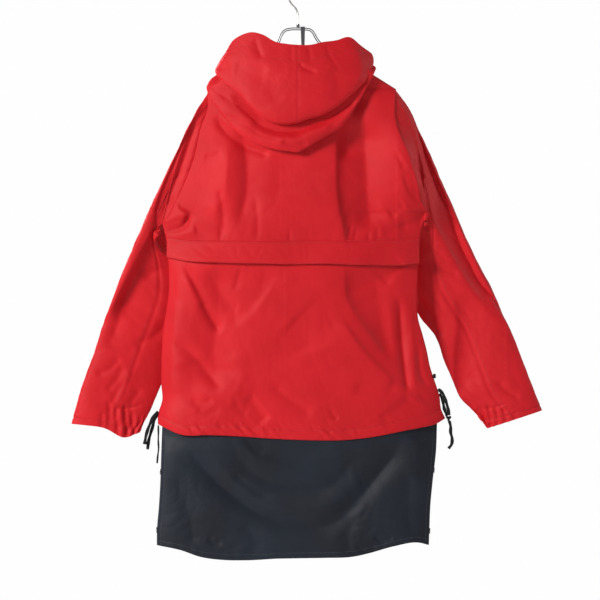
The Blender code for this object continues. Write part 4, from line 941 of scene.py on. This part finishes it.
def hoodControl(angles):
    # control points of the hood's path at each angle: neck, stand, nape, inside of the roll, roll,
    # crescent, crease, pouch, upper face, face edge
    turn = np.radians(angles)
    onBack = np.abs(angles) <= 90
    neckDrop, neckDepth = [np.where(onBack, backCloth[key], frontCloth[key])
                           for key in ("neckDrop", "neckDepth")]
    neckX = (body["neckHalf"] + 3) * np.sin(turn)
    neck = np.stack([neckX, -(neckDepth + 3) * np.cos(turn), topLine(neckX, neckDrop) + 0.9], axis=1)
    rollX, rollZ, rollY, creaseX, creaseZ, puff, edgeX, edgeZ, edgeY = (
        column(hood["rows"], number, angles) for number in range(1, 10))
    outward = unit(np.stack([0.45 * np.sin(turn), -np.cos(turn), 0 * turn], axis=1))
    lift = np.array([0, 0, 1.0])
    roll = np.stack([rollX, rollY, rollZ], axis=1)
    crease = np.stack([creaseX, rollY * 0.86 + 7 * puff, creaseZ - 2 * puff], axis=1)
    edge = np.stack([edgeX, edgeY, edgeZ], axis=1)
    puff = puff[:, None]
    stand = neck + outward * 5 + lift * 8
    nape = stand * 0.55 + roll * 0.45
    inside = roll - outward * 9 + lift * 14 * puff
    crescent = (roll + crease) / 2 + outward * 17 * puff
    pouch = crease + outward * 27 * puff + lift * 5 * puff
    upper = pouch * 0.5 + edge * 0.5 + outward * 9 * puff
    return np.array([neck, stand, nape, inside, roll, crescent, crease, pouch, upper, edge])


def clearOfBody(points, clearance, lifts):
    # moves points of the hood out until they clear the two body panels under their rounded shoulders
    x, y, z = points[..., 0], points[..., 1], points[..., 2] - lifts
    onBack = (y < 0) & (z < topLine(x, backCloth["neckDrop"]))
    onFront = (y >= 0) & (z < topLine(x, frontCloth["neckDrop"]))
    behind = np.minimum(y, -bodyReach(x, z, backCloth) - clearance)
    before = np.maximum(y, bodyReach(x, z, frontCloth) + clearance)
    points[..., 1] = np.where(onBack, behind, np.where(onFront, before, y))


def hoodPanel():
    angles = np.linspace(-176, 176, hood["columns"])
    path = runs((0, 0.36, 32), (0.36, 0.70, 68), (0.70, 1.0, 52))
    grid = smoothCurve(hood["knots"], hoodControl(angles), path)
    wider = (hood["upperClear"] - hood["lowerClear"]) * softStep((path - 0.42) / 0.08)
    lifts = hood["shoulderLift"] * softStep((path - 0.03) / 0.12)
    clearOfBody(grid[1:], hood["lowerClear"] + wider[1:, None], lifts[1:, None])
    normals = -gridNormals(grid)
    x, z = grid[..., 0], grid[..., 2]
    place = path[:, None]
    onBack = softStep((112 - np.abs(angles)) / 24)[None]
    onRoll = softStep((place - 0.37) / 0.05) * softStep((0.60 - place) / 0.05)
    onPouch = softStep((place - 0.60) / 0.05)
    apart = z + 400 * onPouch
    creases = 0.35 * ripples(x, apart, 120, 71) + 0.18 * crumple(x, apart, 50, 73)
    creases = (creases + 0.14 * crumple(x, z, 17, 75)) * softStep((place - 0.3) / 0.1)
    creases += creaseField(x, z, rollCreases) * onRoll * onBack
    creases += creaseField(x, z, pouchCreases) * onPouch * onBack
    # centre seam, and the hem round the face edge with its stitched groove
    away = np.abs(angles)[None]
    groove = 0.45 * bell(away, 1.1) - 0.1 * bell(away - 4, 3)
    creases += groove * softStep((place - hood["seamStart"]) / 0.04)
    creases += 0.25 * bell(place - hood["hem"], 0.008)
    grid = grid - normals * (creases * softStep((place - 0.05) / 0.1))[..., None]
    return grid, -gridNormals(grid), path


hoodGrid, hoodNormals, hoodPath = hoodPanel()
hoodParts = []
centreColumn = hood["columns"] // 2
for name, span in (("Left", slice(0, centreColumn + 1)), ("Right", slice(centreColumn, None))):
    half = redPanel("hood" + name, hoodGrid[:, span], "hood_" + name.lower(), turned=True,
                    shade=hoodNormals[:, span])
    hoodParts.append(("hood" + name, half, hoodGrid[:, span]))
print("hood ready")


# ---- tail under the red hem
tail = {
    "wall": 0.7, "side": 1.45, "inner": 0.6, "tuck": 14.0, "sideDrop": 5.2, "splay": 8.0, "placket": 8.0,
    "stitching": 11.0,
    "back": {"outward": -1, "depth": 37.6, "inset": 0, "columns": 190, "seed": 80, "creased": 1},
    "front": {"outward": 1, "depth": 30.0, "inset": 3.0, "columns": 120, "seed": 90, "creased": 0.5},
    "edges": [(-916, -285, 292), (-970, -287, 290), (-1033, -289, 283), (-1086, -292, 278),
              (-1134, -296, 276), (-1200, -296, 274)],
    "hem": [(-297, -1169), (-246, -1179), (-204, -1193), (-160, -1199), (-109, -1200), (-32, -1196),
            (55, -1195), (118, -1192), (150, -1185), (200, -1171), (256, -1164), (274, -1169)],
}
tailCreases = [
    (12, 26, 20, [(-250, -940), (-190, -1015), (-110, -1082), (-17, -1126), (64, -1126), (130, -1066),
                 (196, -985), (226, -930)]),
    (6, 18, 24, [(-160, -948), (-88, -1020), (-10, -1056), (70, -1040), (140, -960)]),
    (-6, 20, 20, [(-205, -948), (-140, -1030), (-60, -1086), (10, -1098), (80, -1080), (150, -1000)]),
    (4, 20, 20, [(-262, -1010), (-230, -1100), (-215, -1185)]),
    (3.5, 18, 18, [(236, -1010), (232, -1090), (238, -1160)]),
    (3, 14, 14, [(-90, -935), (-60, -975), (0, -1000)]),
    (3, 14, 14, [(60, -935), (40, -980), (-6, -1012)]),
    (3, 18, 12, [(-120, -1120), (-90, -1160), (-96, -1196)]),
    (3.4, 0, 9, [(-132, -1010), (-96, -1042), (-50, -1066)]),
    (4, 10, 0, [(-118, -944), (-104, -966), (-82, -990)]),
    (3, 6, 6, [(-190, -1152), (-176, -1164), (-158, -1160)]),
    (3, 5, 7, [(158, -1150), (176, -1158), (202, -1152)]),
    (2.6, 6, 6, [(120, -1168), (140, -1180), (170, -1176)]),
    (-7, 30, 34, [(250, -930), (246, -990), (250, -1060)]),
    (3, 12, 18, [(120, -1110), (104, -1150), (110, -1190)]),
]


def tailPanel(cloth, drops):
    # the section is |x/a|^5 + |y/b|^q = 1, where q grows from 1 at the red hem to 3.2 lower down
    turns = np.arcsin(np.linspace(-1, 1, cloth["columns"]) * 0.9999)[None] * 0.985
    drop = drops[:, None]
    leftTop, rightTop = leftHem - tail["sideDrop"], rightHem - tail["sideDrop"]
    left = column(tail["edges"], 1, leftTop + (tail["hem"][0][1] - leftTop) * drop)
    right = column(tail["edges"], 2, rightTop + (tail["hem"][-1][1] - rightTop) * drop)
    sink = softStep((drop - 0.05) / 0.24)
    half = (right - left) / 2 - cloth["inset"] * (1 + 0.9 * (1 - sink))
    x = (right + left) / 2 + half * np.sign(np.sin(turns)) * np.abs(np.sin(turns)) ** 0.4
    share = np.clip((x - left) / (right - left), 0, 1)
    reach = np.abs(share * 2 - 1)
    redHem = leftHem + (rightHem - leftHem) * share + hemSag(share * 2 - 1)
    top = redHem + tail["tuck"] * (1 - reach**3) - tail["sideDrop"] * reach**3
    hemZ = column(tail["hem"], 1, x)
    z = top + (hemZ - top) * drop
    out = cloth["depth"] - tail["inner"] - tail["side"] - tail["splay"] * sink
    bulge = tail["side"] + out * np.sign(np.cos(turns)) * np.abs(np.cos(turns)) ** (2 / (1 + 2.2 * sink))
    seed = cloth["seed"]
    creases = creaseField(x, z, tailCreases) * cloth["creased"]
    creases += handling(x, z, (1.2, 120, seed), (0.6, 58, seed + 1), (0.18, 20, seed + 2))
    above = z - hemZ
    roll = 0.5 * bell(above - tail["stitching"], 1.8)
    roll -= 0.5 * np.sin(np.pi * np.clip(above / tail["stitching"], 0, 1))
    roll += 0.4 * ripples(x, above * 0.3, 22, seed + 3, spread=0.5) * bell(above - tail["stitching"], 9)
    y = bulge - (creases * softStep(drop * 8) + roll) * (1 - reach**10)
    grid = np.stack([x, cloth["outward"] * y, z], axis=2)
    if cloth is tail["back"]:
        # two more columns at each side edge turn in as plackets
        grid = np.pad(grid, ((0, 0), (2, 2), (0, 0)), mode="edge")
        sides = [0, 1, -2, -1]
        grid[:, sides, 0] += (0.4, 0.05, -0.05, -0.4)
        grid[:, sides, 1] += tail["placket"] * (0.2 + 0.8 * sink) * (1, 0.5, 0.5, 1)
    return grid


tailDrops = runs((0, 0.93, 110), (0.93, 1, 22))
tailGrid = tailPanel(tail["back"], tailDrops)
tailBack = settle(gridPiece("tailBack", tailGrid, navyCloth, wall=tail["wall"]),
                  "navy_tail_cloth", "tail_back")
tailFrontGrid = tailPanel(tail["front"], tailDrops[::2])
tailFront = settle(gridPiece("tailFront", tailFrontGrid, navyCloth, wall=tail["wall"], turned=True),
                   "navy_tail_cloth", "tail_front")
tailNormals = gridNormals(tailGrid)
print("tail ready")


# ---- drawcord ends: x, y, z of each route's points
cords = {
    "cord_left_front": {"width": 6.6, "far": "bare", "route": [
        (-293.9, -3.0, -889), (-304, -4.5, -901), (-309, -5, -912), (-314.5, -5, -925),
        (-319, -4.5, -940), (-322, -4, -958)]},
    "cord_left_rear": {"width": 6.6, "far": "bare", "route": [
        (-292.5, 2.6, -892), (-301, 3.2, -905), (-305, 3.0, -920), (-309.5, 2.5, -935),
        (-313.5, 2, -950), (-316, 2, -969)]},
    "cord_left_thin": {"width": 3.6, "far": "bare", "route": [
        (-293.2, -3.4, -918.0), (-293.0, -4.6, -934), (-293.2, -5, -950), (-292.6, -5.2, -968),
        (-294.4, -5.4, -983), (-295.6, -5.6, -998)]},
    "cord_right_outer": {"width": 6.6, "far": "knot", "route": [
        (294.2, -3.0, -842), (303.5, -4.5, -851), (309, -5, -864), (314, -4.5, -880), (317.5, -4.2, -897.2)]},
    "cord_right_inner": {"width": 6.6, "far": "knot", "route": [
        (296.9, 3.0, -852), (303, 4.2, -862), (305.5, 4.4, -874), (308, 3.8, -886), (313.2, 2.0, -898.6)]},
    "cord_right_end": {"width": 6.6, "far": "bare", "route": [
        (317.8, -1.5, -909.0), (320.5, -1.5, -921), (320.5, -1.5, -933), (323.5, -2, -946),
        (322.5, -2, -958), (316, -1.5, -967)]},
}


def alongRoute(points, count):
    # even points on the smooth curve through a route, and its length
    knots = lengthAlong(points)
    path = smoothCurve(knots, points, np.linspace(0, knots[-1], count))
    return path, float(lengthAlong(path)[-1])


# the knot: a tight turn and a half of the tape round itself, three lobes carried on a small ring
knotTurn = np.linspace(0, 2 * math.pi, 72, endpoint=False)
knotPath = np.stack([316.2 + 2.3 * (np.sin(knotTurn) + 0.7 * np.sin(2 * knotTurn)),
                     -1.5 - 1.9 * np.sin(3 * knotTurn),
                     -903.4 + 2.5 * (np.cos(knotTurn) - 0.9 * np.cos(2 * knotTurn))], axis=1)
knot = tubePiece("cordKnot", np.concatenate([knotPath, knotPath[:1]]), 2.4, blackTape, sides=12)
settle(knot, "black_tape", "cord_knot")

for name, cord in cords.items():
    path, length = alongRoute(cord["route"], 36)
    # the tape turns and crinkles as it hangs, and its sealed tip spreads a little
    radius = cord["width"] / 2 * (1 + 0.14 * np.sin(np.linspace(0, 17, len(path)) + path[0, 2]))
    radius[:2] *= (0.8, 0.95)
    if cord["far"] == "bare":
        radius[-3:] *= (1.05, 1.1, 0.85)
    thing = tubePiece(name.replace("cord_", "drawcord_"), path, radius, blackTape, sides=14, flat=0.3)
    settle(thing, "black_tape", name)

# barrel stop on the right edge: a ribbed turned shape round the cord hole
rib = np.linspace(-1, 1, 33)
stopRadius = 3.3 * np.sqrt(np.clip(1 - (0.93 * rib) ** 6, 0, 1)) * (1 - 0.06 * np.cos(rib * 5 * math.pi) ** 2)
stopPath = np.stack([286.4 + 0 * rib, -0.2 + 0 * rib, -815.0 + 4.7 * rib], axis=1)
settle(tubePiece("cordStop", stopPath, stopRadius, blackTape, sides=20), "black_tape", "cord_stop")
print("cords ready")


# ---- press studs: a turned cap with a rolled rim and a dimple, its back seated on the tail's side
studs = {"diameter": 12.0, "height": 2.0, "forward": -3.0, "spots": [
    ("stud_left_upper", -1, -1016), ("stud_left_lower", -1, -1138),
    ("stud_right_upper", 1, -1012), ("stud_right_lower", 1, -1140)]}
studProfile = np.array([(0.0, 0.62), (0.16, 0.64), (0.3, 0.74), (0.5, 0.84), (0.68, 0.82), (0.76, 0.72),
                        (0.8, 0.74),
                        (0.88, 0.96), (0.95, 1.0), (1.0, 0.9), (1.0, 0.3), (0.9, 0.0), (0.0, 0.0)])
turn = np.linspace(0, 2 * math.pi, 32, endpoint=False)
radius = studProfile[:, :1] * studs["diameter"] / 2
for name, side, z in studs["spots"]:
    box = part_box(name)
    seat = (box[0].x if side > 0 else box[1].x) / mm
    grid = np.stack([seat + side * studs["height"] * studProfile[:, 1:] + 0 * turn,
                     studs["forward"] + radius * np.cos(turn) * side,
                     z + radius * np.sin(turn)], axis=2)
    cap = closeEnds(gridPiece(name.replace("stud", "pressStud"), grid, nickelPlate, loop=True))
    settle(cap, "bright_steel", name)
print("studs ready")


# ---- hang loop: a woven tape folded over the hanger's top wires, with selvedges
loopPath = np.array([(-23.0, -176), (-20.2, -160), (-12, -128), (-3.6, -98), (-2.1, -89), (-1.6, -83.4),
                     (0, -82.5),
                     (1.6, -83.4), (2.1, -89), (1.8, -98), (-7.5, -128), (-17.8, -160), (-20.4, -176)], float)
knots = lengthAlong(loopPath)
places = runs((0, knots[3], 40), (knots[3], knots[9], 40), (knots[9], knots[-1], 40))
fine = smoothCurve(knots, loopPath, places)
across = np.linspace(-1, 1, 13)[None]
halfWidth, centre = [np.interp(fine[:, 1], (-176, -120, -80), widths)[:, None]
                     for widths in ((3.4, 3.4, 4.7), (12.0, 10.5, 10.0))]
ahead = unit(np.gradient(fine, axis=0))
thick = 0.9 * (1 - 0.25 * np.abs(across) ** 6) - 0.12 * np.cos(across * 9)
outer = np.stack([centre + halfWidth * across, fine[:, :1] - ahead[:, 1:] * thick,
                  fine[:, 1:] + ahead[:, :1] * thick], axis=2)
settle(gridPiece("hangLoop", outer, greyTape, wall=0.7), "dark_grey_tape", "hang_loop")

# the hanger's own solids keep their shape and get their real finishes
finishes = {"hanger_wire": coatedWire, "hanger_collar": coatedWire, "hanger_hook": nickelPlate}
for node, finish in finishes.items():
    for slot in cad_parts[node].material_slots:
        slot.material = finish
print("hanger ready")


# ---- stitching
def stitchRows(name, grid, normals, places, material=redThread, slot="red_shell_cloth"):
    # lines of thread just above one piece's cloth, joined into a single object
    made = [sewnLine(name + str(number), grid[place] + normals[place] * 0.1, normals[place], material)
            for number, place in enumerate(places)]
    chosen = {"active_object": made[0], "selected_editable_objects": made, "selected_objects": made}
    with bpy.context.temp_override(**chosen):
        bpy.ops.object.join()
    made[0].name = name
    return settle(made[0], slot)


def nearestRow(grid, above):
    # the row that lies nearest to a height above the hem
    return int(np.abs((grid[:, :, 2] - grid[-1:, :, 2]).mean(axis=1) - above).argmin())


def nearestPlace(path, place):
    return int(np.abs(path - place).argmin())


hemRow = nearestRow(backGrid, backCloth["hem"]["channel"])
stitchRows("backStitching", backGrid, backNormals, [np.s_[hemRow, 2:-2]])
hemRow = nearestRow(frontGrid, frontCloth["hem"]["channel"])
stitchRows("frontStitching", frontGrid, frontNormals,
           [np.s_[hemRow, 2:-2], np.s_[8:50, 58], np.s_[8:50, 65]])
stitchRows("bandStitching", bandGrid, bandNormals, [np.s_[3, 2:-2], np.s_[25, 2:-2]])
for label, grid, normals, stations in sleeveLines:
    hemRow = nearestPlace(stations, stations[-1] - sleeves["hemUp"])
    stitchRows(label + "SleeveStitching", grid, normals, [np.s_[hemRow], np.s_[6:, 63], np.s_[6:, 2]])
hemRow = nearestPlace(hoodPath, hood["hem"])
seamFirst = nearestPlace(hoodPath, hood["seamStart"])
stitchRows("hoodStitching", hoodGrid, hoodNormals, [np.s_[hemRow], np.s_[seamFirst:, centreColumn]])
hemRow = nearestRow(tailGrid, tail["stitching"])
stitchRows("tailStitching", tailGrid, tailNormals, [np.s_[hemRow, 6:-6], np.s_[4:, 8], np.s_[4:, -9]],
           navyThread, "navy_tail_cloth")
print("stitching ready")


panels = [("back", back, backGrid, "hung", "hanger_wire"), ("front", front, frontGrid, "hung", "hanger_wire"),
          ("band", bandPiece, bandGrid, "hung", "back")]
panels += [(*part, "hung", "back") for part in sleeveParts]
panels += [(*part, "folded", "back") for part in hoodParts]
panels += [("tailBack", tailBack, tailGrid, "hung", "back"),
           ("tailFront", tailFront, tailFrontGrid, "hung", "front")]
